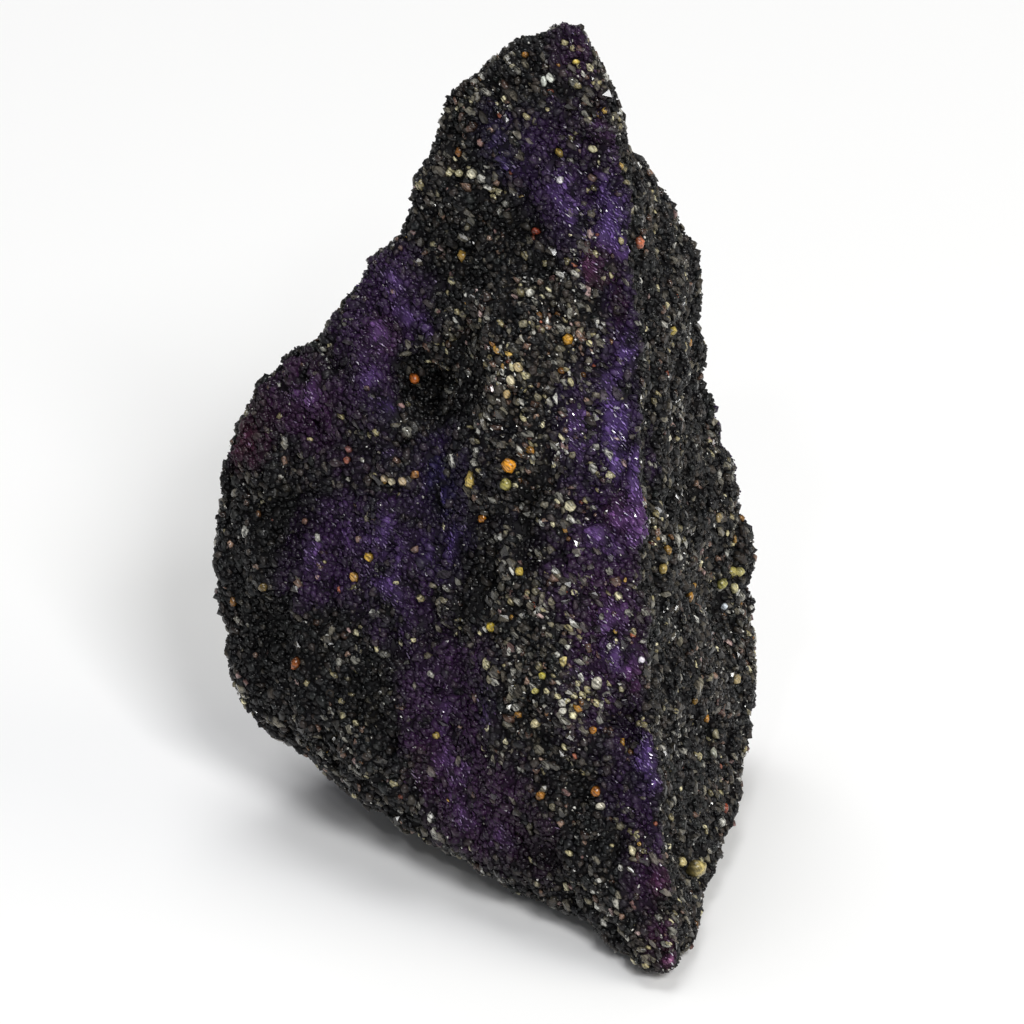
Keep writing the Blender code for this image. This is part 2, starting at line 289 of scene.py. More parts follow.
# %% Bare patches
# side, height: the middle. across, along: half its width and length. turn: degrees to the right
Patch = namedtuple("Patch", "side height across along turn amount hue")
BARE_PATCHES = [Patch(*row) for row in (
    # top block
    (-4.4, 46.6, 0.6, 0.7, 0, 0.30, 0.3), (-3.5, 44.3, 0.5, 1.3, -15, 0.35, 0.2),
    (-5.6, 43.7, 0.4, 0.4, 0, 0.50, -0.2), (-8.4, 41.7, 0.6, 1.6, -22, 0.60, -0.6),
    (-3.1, 42.2, 0.7, 0.5, 60, 0.60, 0.3), (-5.1, 39.4, 0.6, 1.8, -27, 0.75, -0.2),
    (-4.3, 37.7, 0.7, 0.8, 0, 0.65, -0.3), (-2.6, 37.7, 0.7, 2.0, -6, 1.00, -0.3),
    (-3.2, 35.5, 0.8, 0.8, 40, 0.75, 0.8), (-3.6, 34.8, 0.9, 0.4, 80, 0.38, 1.0),
    (-2.3, 33.5, 0.4, 1.1, 0, 0.45, 0.5),
    # shoulder and the hollow under it
    (-13.2, 34.5, 0.8, 1.3, -20, 0.70, -0.1), (-12.1, 32.8, 0.6, 1.1, -52, 0.62, -0.2),
    (-13.6, 32.1, 0.5, 0.8, 0, 0.45, 0.3), (-14.5, 32.0, 0.7, 1.3, 25, 0.58, 0.2),
    (-14.9, 29.9, 0.5, 1.5, -8, 0.62, -0.1), (-14.0, 28.3, 0.5, 0.9, -35, 0.52, -0.4),
    (-13.9, 26.2, 0.5, 0.6, 0, 0.45, -0.3),
    # left lobe
    (-19.7, 29.6, 1.0, 0.6, 60, 0.55, 0.3), (-17.9, 29.3, 0.8, 1.1, -20, 0.62, 0.25),
    (-21.3, 26.9, 0.6, 0.9, 25, 0.45, 1.0),
    # middle of the face
    (-11.2, 24.5, 0.7, 1.5, -8, 0.58, -0.9), (-10.2, 22.0, 0.7, 0.7, 0, 0.45, -0.6),
    (-17.9, 20.9, 0.5, 1.3, 5, 0.66, 0.0), (-16.2, 22.6, 1.5, 0.8, 70, 0.52, 0.0),
    (-14.1, 21.7, 2.0, 1.2, 90, 0.55, -0.2), (-11.3, 20.9, 1.3, 1.0, 70, 0.55, -0.4),
    (-14.1, 19.3, 0.9, 1.3, 0, 0.62, -0.2), (-13.2, 17.3, 0.8, 1.5, -10, 0.40, -0.1),
    (-11.9, 15.0, 0.8, 1.2, -10, 0.45, 0.1),
    # lower face
    (-10.9, 13.0, 0.7, 1.4, 10, 0.52, 0.1), (-8.9, 13.3, 0.5, 1.3, 0, 0.50, -0.2),
    (-10.7, 10.4, 1.1, 1.5, 0, 0.60, 0.2), (-12.3, 10.1, 0.8, 1.2, 0, 0.55, 0.5),
    (-10.2, 8.1, 0.9, 1.1, -25, 0.52, 0.2), (-8.4, 6.7, 1.2, 0.8, 60, 0.45, 0.2),
    # ridge
    (-1.9, 31.1, 0.5, 1.4, 0, 0.75, -0.3), (-2.6, 29.6, 0.7, 0.7, 0, 0.65, -0.2),
    (-2.5, 27.3, 0.6, 2.1, -4, 1.10, -0.3), (-4.2, 27.2, 0.6, 1.6, 0, 0.85, -0.1),
    (-1.4, 25.3, 0.4, 1.6, 0, 0.90, -0.2), (-2.0, 23.2, 0.8, 0.8, -20, 1.05, 0.4),
    (-1.4, 21.7, 0.4, 1.1, -5, 0.95, 0.2), (-3.1, 21.5, 1.2, 0.9, 30, 0.65, 0.0),
    (-3.2, 19.2, 1.0, 1.0, 0, 0.50, 0.3), (-2.6, 17.8, 0.9, 0.8, -20, 0.75, 0.2),
    (-2.3, 16.0, 0.7, 0.9, -30, 0.95, 0.0), (-1.6, 14.9, 0.4, 0.7, 0, 1.10, 0.6),
    (-4.3, 15.3, 1.1, 0.7, 30, 0.40, 0.1), (-1.0, 10.4, 0.6, 1.6, -4, 0.66, -0.3),
    (-0.5, 7.4, 0.5, 1.4, -4, 0.48, 0.0), (-0.2, 4.4, 0.5, 1.2, -4, 0.52, 0.8),
    (0.1, 0.9, 0.4, 0.5, 0, 1.00, 0.9),
)]
print(len(BARE_PATCHES), "bare patches on the front")

# %% Stained zones
STAINED_ZONES = [Patch(*row) for row in (
    # top block
    (-4.5, 45.7, 0.8, 1.2, 0, 0.60, 0.3), (-4.3, 47.0, 1.5, 0.9, 0, 0.60, 0.1),
    (-3.2, 42.2, 2.0, 1.5, 0, 0.70, 0.1), (-8.1, 42.0, 1.2, 1.8, -20, 0.60, -0.5),
    (-5.5, 39.5, 1.8, 3.0, -20, 0.75, -0.2), (-2.8, 37.5, 1.4, 2.6, 0, 0.95, -0.2),
    # shoulder and lobe
    (-13.5, 34.2, 1.6, 2.2, -10, 0.95, -0.1), (-15.2, 31.2, 1.4, 3.0, -5, 0.90, 0.0),
    (-18.6, 29.4, 2.8, 1.5, 60, 0.90, 0.35), (-21.4, 26.8, 1.2, 1.6, 20, 0.70, 0.9),
    (-16.2, 26.6, 3.6, 2.0, 0, 0.30, 0.1),
    # middle of the face
    (-11.3, 24.6, 1.3, 2.6, 0, 0.60, -0.6), (-14.3, 21.6, 3.6, 2.4, 0, 0.80, -0.1),
    (-17.9, 20.8, 1.6, 2.2, 0, 0.90, 0.0), (-13.4, 18.4, 2.2, 2.0, 0, 0.50, 0.0),
    (-9.2, 26.2, 2.2, 2.4, 0, 0.18, -0.2), (-8.2, 22.6, 2.0, 2.0, 0, 0.18, -0.1),
    # lower face
    (-11.6, 14.8, 2.0, 2.8, 0, 0.55, 0.1), (-9.3, 15.7, 1.6, 1.6, 0, 0.35, 0.1),
    (-10.9, 11.4, 2.0, 3.2, -10, 0.90, 0.2), (-9.2, 7.8, 3.0, 1.8, 130, 0.70, 0.3),
    (-6.7, 6.2, 1.6, 1.8, 0, 0.50, 0.4),
    # ridge
    (-2.2, 32.5, 0.9, 2.6, 0, 0.65, -0.2), (-2.9, 27.0, 2.3, 3.6, 0, 0.85, -0.3),
    (-1.9, 22.8, 1.2, 2.6, 0, 0.90, 0.2), (-3.4, 20.6, 2.4, 2.6, 0, 0.85, 0.1),
    (-2.9, 16.8, 1.8, 2.2, 0, 0.90, 0.2), (-3.2, 13.2, 2.4, 2.0, 0, 0.50, 0.1),
    (-1.3, 9.8, 1.5, 2.8, 0, 0.70, -0.1), (-0.5, 5.7, 1.2, 2.8, 0, 0.65, 0.3),
    (0.0, 1.6, 0.9, 1.0, 0, 0.80, 0.7),
)]
print(len(STAINED_ZONES), "stained zones on the front")

# %% Ovals and noise
# Sizes are in millimetres, and shares say how strongly a noise breaks up the edge of a patch
CLUMP_SIZE, CLUMP_SHARE = 1.1, 0.80
CRUMB_SIZE, CRUMB_SHARE = 0.45, 0.50
STREAK_SHARE = 0.60
STREAK_STRETCH = np.array((0.45, 1.8, 0.45))  # a streak's width, length and width
HIDDEN_STRETCH = np.array((2.4, 9.0, 2.4))  # the same for the streaks on the hidden sides
HIDDEN_HUE_SIZE = 6.0
HIDDEN_AMOUNT = 0.9
OVERLAP_SHARE = 0.35  # how much the weaker of two patches adds where they overlap
BARE_ENOUGH = 0.3  # from here on, the hue is the patch's own and no longer the stain's
RIGHT_FADE = 0.6  # how soon the front gives way to the face right of the ridge


def oval(patch, side, height):
    """1 in the middle of a patch, falling softly to 0 outside it."""
    turn = math.radians(patch.turn)
    aside, above = side - patch.side, height - patch.height
    along = (above * math.cos(turn) + aside * math.sin(turn)) / patch.along
    across = (aside * math.cos(turn) - above * math.sin(turn)) / patch.across
    return np.exp(-0.5 * (along * along + across * across) ** 1.5)


def noise_over(points, seed):
    """Perlin noise at each of the points, between about -1 and 1."""
    offset = np.array((seed, 0.0, 0.0))
    return np.array([noise.noise(point) for point in points + offset])


def painted(patches):
    """All patches laid over one another: how much, and the mean hue there."""
    amount = np.zeros(len(on_stone))
    hues = np.zeros(len(on_stone))
    weights = np.full(len(on_stone), 1e-6)  # never quite nothing, as it divides the hues
    for patch in patches:
        here = oval(patch, on_stone[:, 0], on_stone[:, 1]) * patch.amount
        amount = np.maximum(amount, here) + OVERLAP_SHARE * np.minimum(amount, here)
        hues += here * patch.hue
        weights += here
    return amount, hues / weights


print("a patch at half its width:", round(float(oval(BARE_PATCHES[0], -4.1, 46.6)), 2))

# %% Bare, stain, painted sheen and hue, at each point of the crystal
# The front face looks at the camera. The face right of the ridge is seen too, but has no violet.
facing_front = -axis_normals[:, 2] - RIGHT_FADE * np.maximum(axis_normals[:, 0], 0.0)
front = smooth_step(0.10, 0.40, facing_front)
seen = smooth_step(-0.05, 0.20, -axis_normals[:, 2])
back = smooth_step(0.0, 0.35, axis_normals[:, 2])

bare, hue = painted(BARE_PATCHES)
stain, stain_hue = painted(STAINED_ZONES)
streaks = noise_over(on_stone / HIDDEN_STRETCH, 61.0)
hidden_hue = noise_over(on_stone / HIDDEN_HUE_SIZE, 70.0)
bare = front * bare + back * HIDDEN_AMOUNT * smooth_step(0.15, 0.45, streaks)
stain = front * stain + back * HIDDEN_AMOUNT * smooth_step(-0.10, 0.30, streaks)
hue = front * np.where(bare > BARE_ENOUGH, hue, stain_hue) + back * hidden_hue

clumps = noise_over(places / CLUMP_SIZE, 5.0)
crumbs = noise_over(places / CRUMB_SIZE, 15.0)
broken = 1.0 + CLUMP_SHARE * clumps + CRUMB_SHARE * crumbs
broken += STREAK_SHARE * noise_over(on_stone / STREAK_STRETCH, 25.0)
# Painted sheen: where the skin is most bare, the violet is painted lighter, as the light on the
# ridge
glow = smooth_step(0.45, 1.15, bare * broken)
bare = smooth_step(0.15, 0.95, bare * broken)
stain = np.maximum(smooth_step(0.08, 0.90, stain * broken), bare)
bare_share, stained_share = round(float(bare.mean()), 3), round(float(stain.mean()), 3)
print("bare share of the skin:", bare_share, "stained:", stained_share)

# %% [markdown]
# ## Relief of the crystal
#
# Under the crust the crystal is lumpy, with knobs, with grooves along its length and with small
# pits that stay dark between the grains. Where it is bare it has fine ribs along its length and
# stands nearly as high as the grains around it. Broad hills give the front its slow swell. A few
# swells and hollows are large enough to be known one by one, such as the black pit beside the
# shoulder. All of it is real displacement, so it casts shadows and shows along the outline, where
# it is calmer. Last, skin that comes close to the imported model's box is eased in softly, because
# a hard cut would leave a flat disc, and the grains need room.

# %% Swells and hollows
Swell = namedtuple("Swell", "side height across along turn rise")
SWELLS = [Swell(*row) for row in (
    (-12.6, 29.8, 0.9, 1.3, -15, -0.60), (-14.9, 31.0, 0.9, 2.2, 0, 0.20),
    (-11.3, 29.0, 0.6, 1.6, 0, -0.35), (-19.3, 22.4, 1.4, 1.9, -20, -0.95),
    (-20.0, 24.3, 2.2, 0.6, 75, 0.20), (-20.4, 16.9, 1.1, 1.8, 0, -0.60),
    (-17.8, 20.9, 0.7, 1.6, 0, 0.20), (-9.9, 30.0, 0.7, 2.2, 0, -0.40),
    (-10.6, 36.4, 1.4, 1.8, 0, -0.30), (-6.8, 36.8, 0.9, 2.2, -10, -0.25),
    (-7.8, 29.8, 0.9, 1.4, 0, 0.22), (-4.6, 31.3, 1.8, 1.0, 0, 0.20),
    (-13.9, 24.9, 1.3, 0.5, 90, 0.22), (-8.9, 20.4, 0.5, 1.8, 0, -0.30),
    (-6.8, 22.6, 0.5, 2.2, 0, -0.28), (-6.5, 5.7, 1.2, 1.0, 0, -0.45),
    (-1.9, 12.4, 0.8, 1.6, 0, -0.30), (-0.2, 21.3, 0.5, 1.6, -35, 0.22),
    (1.0, 23.6, 0.6, 1.8, 0, -0.35), (-14.5, 12.6, 0.9, 2.6, -20, -0.30),
    # along the outline
    (-7.8, 46.4, 2.4, 1.0, 20, 0.40), (-12.1, 40.4, 0.9, 0.8, 0, 0.30),
    (-14.1, 36.0, 1.3, 1.0, 30, 0.40), (-17.6, 31.8, 2.2, 1.0, 40, -0.35),
    (1.4, 37.4, 1.2, 2.2, -20, 0.35), (4.7, 18.6, 1.2, 3.2, 0, 0.35),
    (4.7, 13.4, 1.4, 2.0, 0, 0.60), (3.9, 9.6, 1.2, 2.2, 0, 0.35),
)]
print(len(SWELLS), "swells and hollows")

# %% Push the skin in and out
LUMP_SIZE, LUMP_HEIGHT = 1.5, 0.20
KNOB_SIZE, KNOB_HEIGHT = 0.80, 0.24
HILL_SIZE, HILL_HEIGHT = 3.0, 0.30  # on the front alone, clear of the outline
GROOVE_STRETCH, GROOVE_HEIGHT = np.array((1.0, 6.0, 1.0)), 0.14  # width, length and width
RIB_STRETCH, RIB_HEIGHT = np.array((0.6, 5.0, 0.6)), 0.09
BARE_RISE = 0.12  # bare skin stands this far above the crystal under the crust
PIT_SIZE, PIT_DROP = 0.85, 0.18
OUTLINE_CALM = 0.45  # the share of the relief that is left along the outline
CLUMPS_IN_SWELLS, CRUMBS_IN_SWELLS = 0.5, 0.3  # how much the fine noises roughen a swell

off_floor = smooth_step(0.15, FLOOR_FADE, places[:, 2])
lumps = LUMP_HEIGHT * noise_over(places / LUMP_SIZE, 31.0)
knobs = KNOB_HEIGHT * noise_over(places / KNOB_SIZE, 33.0)
ribs = RIB_HEIGHT * noise_over(on_stone / RIB_STRETCH, 35.0)
grooves = GROOVE_HEIGHT * noise_over(on_stone / GROOVE_STRETCH, 37.0)
hills = HILL_HEIGHT * front * noise_over(places / HILL_SIZE, 39.0)
pits = smooth_step(0.15, 0.38, noise_over(places / PIT_SIZE, 57.0))
off_outline = smooth_step(0.0, 0.35, np.abs(axis_normals[:, 2]))
calm_outline = OUTLINE_CALM + (1.0 - OUTLINE_CALM) * off_outline
out = calm_outline * (lumps + (1.0 - bare) * (knobs + grooves - PIT_DROP * pits))
out += hills + bare * (BARE_RISE + ribs)
round_to_edge = smooth_step(-0.6, -0.2, -axis_normals[:, 2])
uneven = 1.0 + CLUMPS_IN_SWELLS * clumps + CRUMBS_IN_SWELLS * crumbs
for swell in SWELLS:
    out += swell.rise * round_to_edge * uneven * oval(swell, on_stone[:, 0], on_stone[:, 1])
places = places + normals * (out * off_floor)[:, None]

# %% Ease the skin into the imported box, and keep the flat spot flat
EASE_FROM = 0.45  # skin nearer than this to the box is eased in
EASE_ROOM = 0.28  # and however far out it was, no more than this is added to where easing starts
FLAT_SPOT_HEIGHT = 0.10
LOOKING_DOWN = -0.8  # a normal that points down more steeply than this is part of the flat spot
low, high = (np.array(corner) / MM for corner in packed_box)


def eased(beyond):
    """How far to move back what lies this far beyond the start of the easing."""
    beyond = np.maximum(beyond, 0.0)
    return beyond - EASE_ROOM * (1.0 - np.exp(-beyond / EASE_ROOM))


places -= eased(places - (high - EASE_FROM))
places[:, :2] += eased(low[:2] + EASE_FROM - places[:, :2])
flat_spot = (places[:, 2] < FLAT_SPOT_HEIGHT) & (broad_normals[:, 2] < LOOKING_DOWN)
places[:, 2] = np.where(flat_spot, 0.0, places[:, 2])
write_points(crystal_mesh, places)
on_stone = along_stone(places)
print("relief from", round(float(out.min()), 2), "to", round(float(out.max()), 2), "mm")


# %% Keep what the materials need as attributes: painted shade in the hollows
def write_attribute(mesh, name, values):
    """Keep one number for each point of a mesh."""
    layer = mesh.attributes.new(name, "FLOAT", "POINT")
    layer.data.foreach_set("value", values.astype(np.float32))


# Painted shade: the further the relief pushes the skin in, the darker its colour is painted
dirt = smooth_step(-0.05, 0.40, -out)
for name, values in (("stain", stain), ("glow", glow), ("hue", hue), ("dirt", dirt)):
    write_attribute(crystal_mesh, name, values)
crystal_mesh.shade_smooth()
print("lowest point", round(float(places[:, 2].min()), 3), "mm")

# %% [markdown]
# ## Grain shapes
#
# Sand grains are worn crystal chips. A few points are thrown around a stretched ball and wrapped
# in their convex hull, the way a tight skin would close round them, which gives closed pebbles
# of about twenty faces, and crumbs of about ten. Left flat, the faces glint like broken quartz;
# shaded smooth, they read as worn pebbles. A sculpted grain would cost thousands of faces that
# nobody could see. Each mineral draws from a handful of shapes. The x axis is the long one.

# %% Pebbles by convex hull
def hull_pebble(name, corners, stretch, unevenness, seed, smooth):
    """A closed pebble about two units across, with a map of its two halves side by side."""
    rng = np.random.default_rng(seed)
    golden_turn = math.pi * (3.0 - math.sqrt(5.0))
    ball = bmesh.new()
    for i in range(corners):
        up = 1.0 - 2.0 * (i + 0.5) / corners
        around = i * golden_turn
        ring = math.sqrt(1.0 - up * up)
        point = np.array((ring * math.cos(around), ring * math.sin(around), up))
        point += unevenness * rng.normal(size=3)
        point *= (1.0 + 0.5 * unevenness * rng.normal()) / np.linalg.norm(point)
        ball.verts.new(point * stretch)
    hull = bmesh.ops.convex_hull(ball, input=ball.verts)
    inside = hull["geom_interior"] + hull["geom_unused"]
    spare = {thing for thing in inside if isinstance(thing, bmesh.types.BMVert)}
    bmesh.ops.delete(ball, geom=list(spare), context="VERTS")
    bmesh.ops.recalc_face_normals(ball, faces=ball.faces)
    mesh = bpy.data.meshes.new(name)
    ball.to_mesh(mesh)
    ball.free()
    if smooth:
        mesh.shade_smooth()
    else:
        mesh.shade_flat()
    spots = mesh.attributes.new("spot", "FLOAT_VECTOR", "CORNER")
    reach = max(stretch) * 1.6  # no corner lies further out than this
    for face in mesh.polygons:
        middle = 0.25 if face.normal.z > 0.0 else 0.75  # of the left or of the right half
        for loop in face.loop_indices:
            corner = mesh.vertices[mesh.loops[loop].vertex_index].co
            across, along = 0.25 * corner.x / reach, 0.5 * corner.y / reach
            spots.data[loop].vector = (middle + across, 0.5 + along, 0.0)
    return mesh


def shape_box(name, count, corners, unevenness, smooth, seed, longest):
    """A collection of loose shapes for one kind of grain."""
    rng = np.random.default_rng(seed)
    box = bpy.data.collections.new(name)
    for i in range(count):
        stretch = (rng.uniform(1.1, longest), rng.uniform(0.85, 1.1), rng.uniform(0.65, 0.95))
        mesh = hull_pebble(f"{name}_{i}", corners, stretch, unevenness, seed + i, smooth)
        box.objects.link(bpy.data.objects.new(f"{name}_{i}", mesh))
    faces = [len(thing.data.polygons) for thing in box.objects]
    print(name, "have", min(faces), "to", max(faces), "faces")
    return box


# name, count, corners, unevenness, smooth, seed, longest
sharp_chips = shape_box("sharp_chips", 12, 13, 0.22, False, 100, 1.7)
worn_grains = shape_box("worn_grains", 12, 11, 0.26, True, 200, 1.5)
oval_grains = shape_box("oval_grains", 10, 14, 0.16, True, 300, 1.55)
crumb_chips = shape_box("crumb_chips", 8, 6, 0.22, False, 400, 2.0)
crumb_grains = shape_box("crumb_grains", 8, 8, 0.24, True, 450, 1.7)
strokes = shape_box("strokes", 8, 7, 0.16, False, 500, 4.2)

# %% [markdown]
# ## Geometry Nodes: grains on the stone
#
# One node tree scatters every mineral. It is built below in four steps, and each mineral runs it
# with its own inputs. It could be drawn by hand in the node editor, but a script shows every
# number and builds the same tree each time. Every random draw in it has a seed of its own: the
# mineral's seed and a number.

# %% The tree: its inputs and random draws
GRAIN_INPUTS = (
    ("Geometry", "Geometry"),
    ("Spacing", "Float"),
    ("Seed", "Int"),
    ("Share from", "Float"),
    ("Share to", "Float"),
    ("Smallest radius", "Float"),
    ("Largest radius", "Float"),
    ("Lowest lift", "Float"),
    ("Highest lift", "Float"),
    ("Spread", "Float"),
    ("Room", "String"),
    ("Shapes", "Collection"),
    ("Material", "Material"),
)
DRAWS = ("share", "lift", "pick", "astray", "size", "tint", "roll")

grains_on_stone = bpy.data.node_groups.new("grains_on_stone", "GeometryNodeTree")
new_socket = grains_on_stone.interface.new_socket
for name, kind in GRAIN_INPUTS:
    new_socket(name, in_out="INPUT", socket_type="NodeSocket" + kind)
way_out = new_socket("Geometry", in_out="OUTPUT", socket_type="NodeSocketGeometry")
add = partial(add_node, grains_on_stone)
given = {socket.name: socket for socket in add("NodeGroupInput").outputs}
seeds = {}
for number, name in enumerate(DRAWS, 1):
    seeds[name] = add("ShaderNodeMath", (given["Seed"], float(number)), operation="ADD")
drawn = {}
for name, least, most in (
    ("share", 0.0, 1.0),
    ("lift", given["Lowest lift"], given["Highest lift"]),
    ("size", 0.0, 1.0),
    ("tint", 0.0, 1.0),
    ("roll", 0.0, math.tau),
):
    drawn[name] = add("FunctionNodeRandomValue", {
        "Min_001": least, "Max_001": most, "Seed": seeds[name],
    }, data_type="FLOAT").outputs[1]
print("the tree's inputs:", [name for name, _ in GRAIN_INPUTS])

# %% [markdown]
# Poisson points keep a least distance, so grains pack without piling on one spot. Every mineral
# of one bed sees the same points, because the seed is the same, and each takes its own share of
# them by a random draw, so two grains never share a place. The draw is raised to a power, the
# dark bias: above 1 it bends the draw to the dark minerals at the start of the list.

# %% The tree: points, and how large the grains are
MOST_POINTS = 60.0  # tries for each square millimetre, before the distance is kept
FEW_LARGE = 1.5  # above 1, most grains are nearer their smallest radius

room_here = add("GeometryNodeInputNamedAttribute", (given["Room"],), data_type="FLOAT")
points = add("GeometryNodeDistributePointsOnFaces", {
    "Mesh": given["Geometry"],
    "Distance Min": given["Spacing"],
    "Density Max": MOST_POINTS,
    "Density Factor": room_here,
    "Seed": given["Seed"],
}, distribute_method="POISSON")
normal = points.outputs["Normal"]
bias = add("GeometryNodeInputNamedAttribute", ("dark_bias",), data_type="FLOAT")
share = add("ShaderNodeMath", (drawn["share"], bias), operation="POWER")
wanted = add("FunctionNodeBooleanMath", (
    add("ShaderNodeMath", (share, given["Share from"]), operation="GREATER_THAN"),
    add("ShaderNodeMath", (share, given["Share to"]), operation="LESS_THAN"),
), operation="AND")

lift = add("ShaderNodeVectorMath", {"Vector": normal, "Scale": drawn["lift"]}, operation="SCALE")
foot = add("GeometryNodeSetPosition", {"Geometry": points, "Offset": lift})
size = add("ShaderNodeMapRange", {
    "Value": add("ShaderNodeMath", (drawn["size"], FEW_LARGE), operation="POWER"),
    "To Min": given["Smallest radius"],
    "To Max": given["Largest radius"],
})
one_radius = add("ShaderNodeMath", (1.0, size), operation="DIVIDE")
upright = add("ShaderNodeVectorMath", {"Vector": normal, "Scale": one_radius}, operation="SCALE")
position = add("GeometryNodeInputPosition")
for name, value in (("middle", position), ("upright", upright)):
    foot = add("GeometryNodeStoreNamedAttribute", {
        "Geometry": foot, "Name": name, "Value": value,
    }, data_type="FLOAT_VECTOR", domain="POINT")
print(len(grains_on_stone.nodes), "nodes so far")

# %% [markdown]
# Most grains lie with their long side down to the right, as if combed, and a spread loosens
# this. Most of the part that would point off the skin is taken away, so they lie flat, as sand
# that has settled, and each is rolled about its long side.

# %% The tree: how each grain lies
COMBED = Vector(0.7 * SIDE - 0.7 * HEIGHT)
LAID_FLAT = 0.85  # how much of a grain's rise off the skin is taken away
ANY_SHAPE = 99  # past the end of the list, it starts again

astray = add("FunctionNodeRandomValue", {
    "Min": (-1.0, -1.0, -1.0), "Max": (1.0, 1.0, 1.0), "Seed": seeds["astray"],
}, data_type="FLOAT_VECTOR")
strayed = {"Vector": astray, "Scale": given["Spread"]}
strayed = add("ShaderNodeVectorMath", strayed, operation="SCALE")
heading = add("ShaderNodeVectorMath", (strayed, tuple(COMBED)), operation="ADD")
steepness = add("ShaderNodeVectorMath", (heading, normal), operation="DOT_PRODUCT")
rising = add("ShaderNodeMath", (steepness.outputs["Value"], LAID_FLAT), operation="MULTIPLY")
rise = add("ShaderNodeVectorMath", {"Vector": normal, "Scale": rising}, operation="SCALE")
lying = add("ShaderNodeVectorMath", (heading, rise), operation="SUBTRACT")
rolled = add("FunctionNodeRotateRotation", {
    "Rotation": add("FunctionNodeAlignRotationToVector", {"Vector": lying}, axis="X"),
    "Rotate By": add("ShaderNodeCombineXYZ", (drawn["roll"],)),
}, rotation_space="LOCAL")
grains = add("GeometryNodeInstanceOnPoints", {
    "Points": foot,
    "Selection": wanted,
    "Instance": add("GeometryNodeCollectionInfo", {
        "Collection": given["Shapes"], "Separate Children": True, "Reset Children": True,
    }),
    "Pick Instance": True,
    "Instance Index": add("FunctionNodeRandomValue", {
        "Min_002": 0, "Max_002": ANY_SHAPE, "Seed": seeds["pick"],
    }, data_type="INT").outputs[2],
    "Rotation": rolled,
    "Scale": size,
})
print(len(grains_on_stone.nodes), "nodes so far")

# %% [markdown]
# Each grain gets a tint, a number from -1 at its foot to 1 at its tip, and a square of its own on
# the "OFBake" map, in as many rows as columns, so that a texture bake keeps its colour apart.
# The instances are made real, because only real mesh can be exported, and what the tree needed
# for itself is taken away again.

# %% The tree: what each grain keeps
ROOMS = ("under_room", "room", "stroke_room", "sparkle_room")

result = grains
for name, value in (("tint", drawn["tint"]), ("grain", add("GeometryNodeInputIndex"))):
    result = add("GeometryNodeStoreNamedAttribute", {
        "Geometry": result, "Name": name, "Value": value,
    }, data_type="FLOAT", domain="INSTANCE")
result = add("GeometryNodeRealizeInstances", {"Geometry": result})

kept = {}
for name in ("middle", "upright", "spot"):
    kept[name] = add("GeometryNodeInputNamedAttribute", (name,), data_type="FLOAT_VECTOR")
off_middle = add("ShaderNodeVectorMath", (position, kept["middle"]), operation="SUBTRACT")
up = add("ShaderNodeVectorMath", (off_middle, kept["upright"]), operation="DOT_PRODUCT")
result = add("GeometryNodeStoreNamedAttribute", {
    "Geometry": result, "Name": "up", "Value": up.outputs["Value"],
}, data_type="FLOAT", domain="POINT")

count = add("GeometryNodeAttributeDomainSize", {"Geometry": grains}, component="INSTANCES")
rows = add("ShaderNodeMath", (count.outputs["Instance Count"],), operation="SQRT")
rows = add("ShaderNodeMath", (rows,), operation="CEIL")
grain = add("GeometryNodeInputNamedAttribute", ("grain",), data_type="FLOAT")
row = add("ShaderNodeMath", (grain, 0.5), operation="ADD")
row = add("ShaderNodeMath", (row, rows), operation="DIVIDE")
corner = add("ShaderNodeCombineXYZ", (
    add("ShaderNodeMath", (grain, rows), operation="MODULO"),
    add("ShaderNodeMath", (row,), operation="FLOOR"),
))
square = add("ShaderNodeVectorMath", {
    "Vector": add("ShaderNodeVectorMath", (corner, kept["spot"]), operation="ADD"),
    "Scale": add("ShaderNodeMath", (1.0, rows), operation="DIVIDE"),
}, operation="SCALE")
result = add("GeometryNodeStoreNamedAttribute", {
    "Geometry": result, "Name": "OFBake", "Value": square,
}, data_type="FLOAT2", domain="CORNER")
for spare in (*kept, "dark_bias", *ROOMS):
    result = add("GeometryNodeRemoveAttribute", {"Geometry": result, "Name": spare})
result = add("GeometryNodeSetMaterial", {"Geometry": result, "Material": given["Material"]})
add("NodeGroupOutput", {way_out.identifier: result})
print("the tree has", len(grains_on_stone.nodes), "nodes")

# %% [markdown]
# ## The violet
#
# Rough corundum is a deep, dirty violet, nearly black in the shade. The same colour is needed on
# the bare skin, on the fine strokes of crystal that cover it, and as a tint on dark grains, so
# one function builds it from the hue and glow attributes. Where the sheen is painted, a
# lighter violet stands in for the light on the crystal, as painted sheen.

# %% Violet from hue and painted sheen
# Deep violets are the crystal's colour; lit violets are painted sheen, mixed in where the sheen is
# painted
DEEP_VIOLETS = ("#231c3f", "#2f1b3b", "#381527")  # blue violet, violet, magenta violet
LIT_VIOLETS = ("#5e529e", "#745294", "#743e64")


def violet_colour(tree):
    """The socket with the violet of this place."""
    add = partial(add_node, tree)
    hue = add("ShaderNodeAttribute", attribute_name="hue").outputs["Fac"]
    glow = add("ShaderNodeAttribute", attribute_name="glow").outputs["Fac"]
    along_ramp = add("ShaderNodeMapRange", {"Value": hue, "From Min": -1.0})
    ramps = []
    for colours in (DEEP_VIOLETS, LIT_VIOLETS):
        node = add("ShaderNodeValToRGB", (along_ramp,))
        node.color_ramp.elements.new(0.5)
        for element, colour in zip(node.color_ramp.elements, colours):
            element.color = linear(colour)
        ramps.append(node)
    # Painted sheen: the deep violet gives way to the lit one
    return add("ShaderNodeMix", {
        "Factor_Float": glow, "A_Color": ramps[0], "B_Color": ramps[1],
    }, data_type="RGBA").outputs[2]


print("deep violet in linear light:", [round(v, 3) for v in linear(DEEP_VIOLETS[1])])
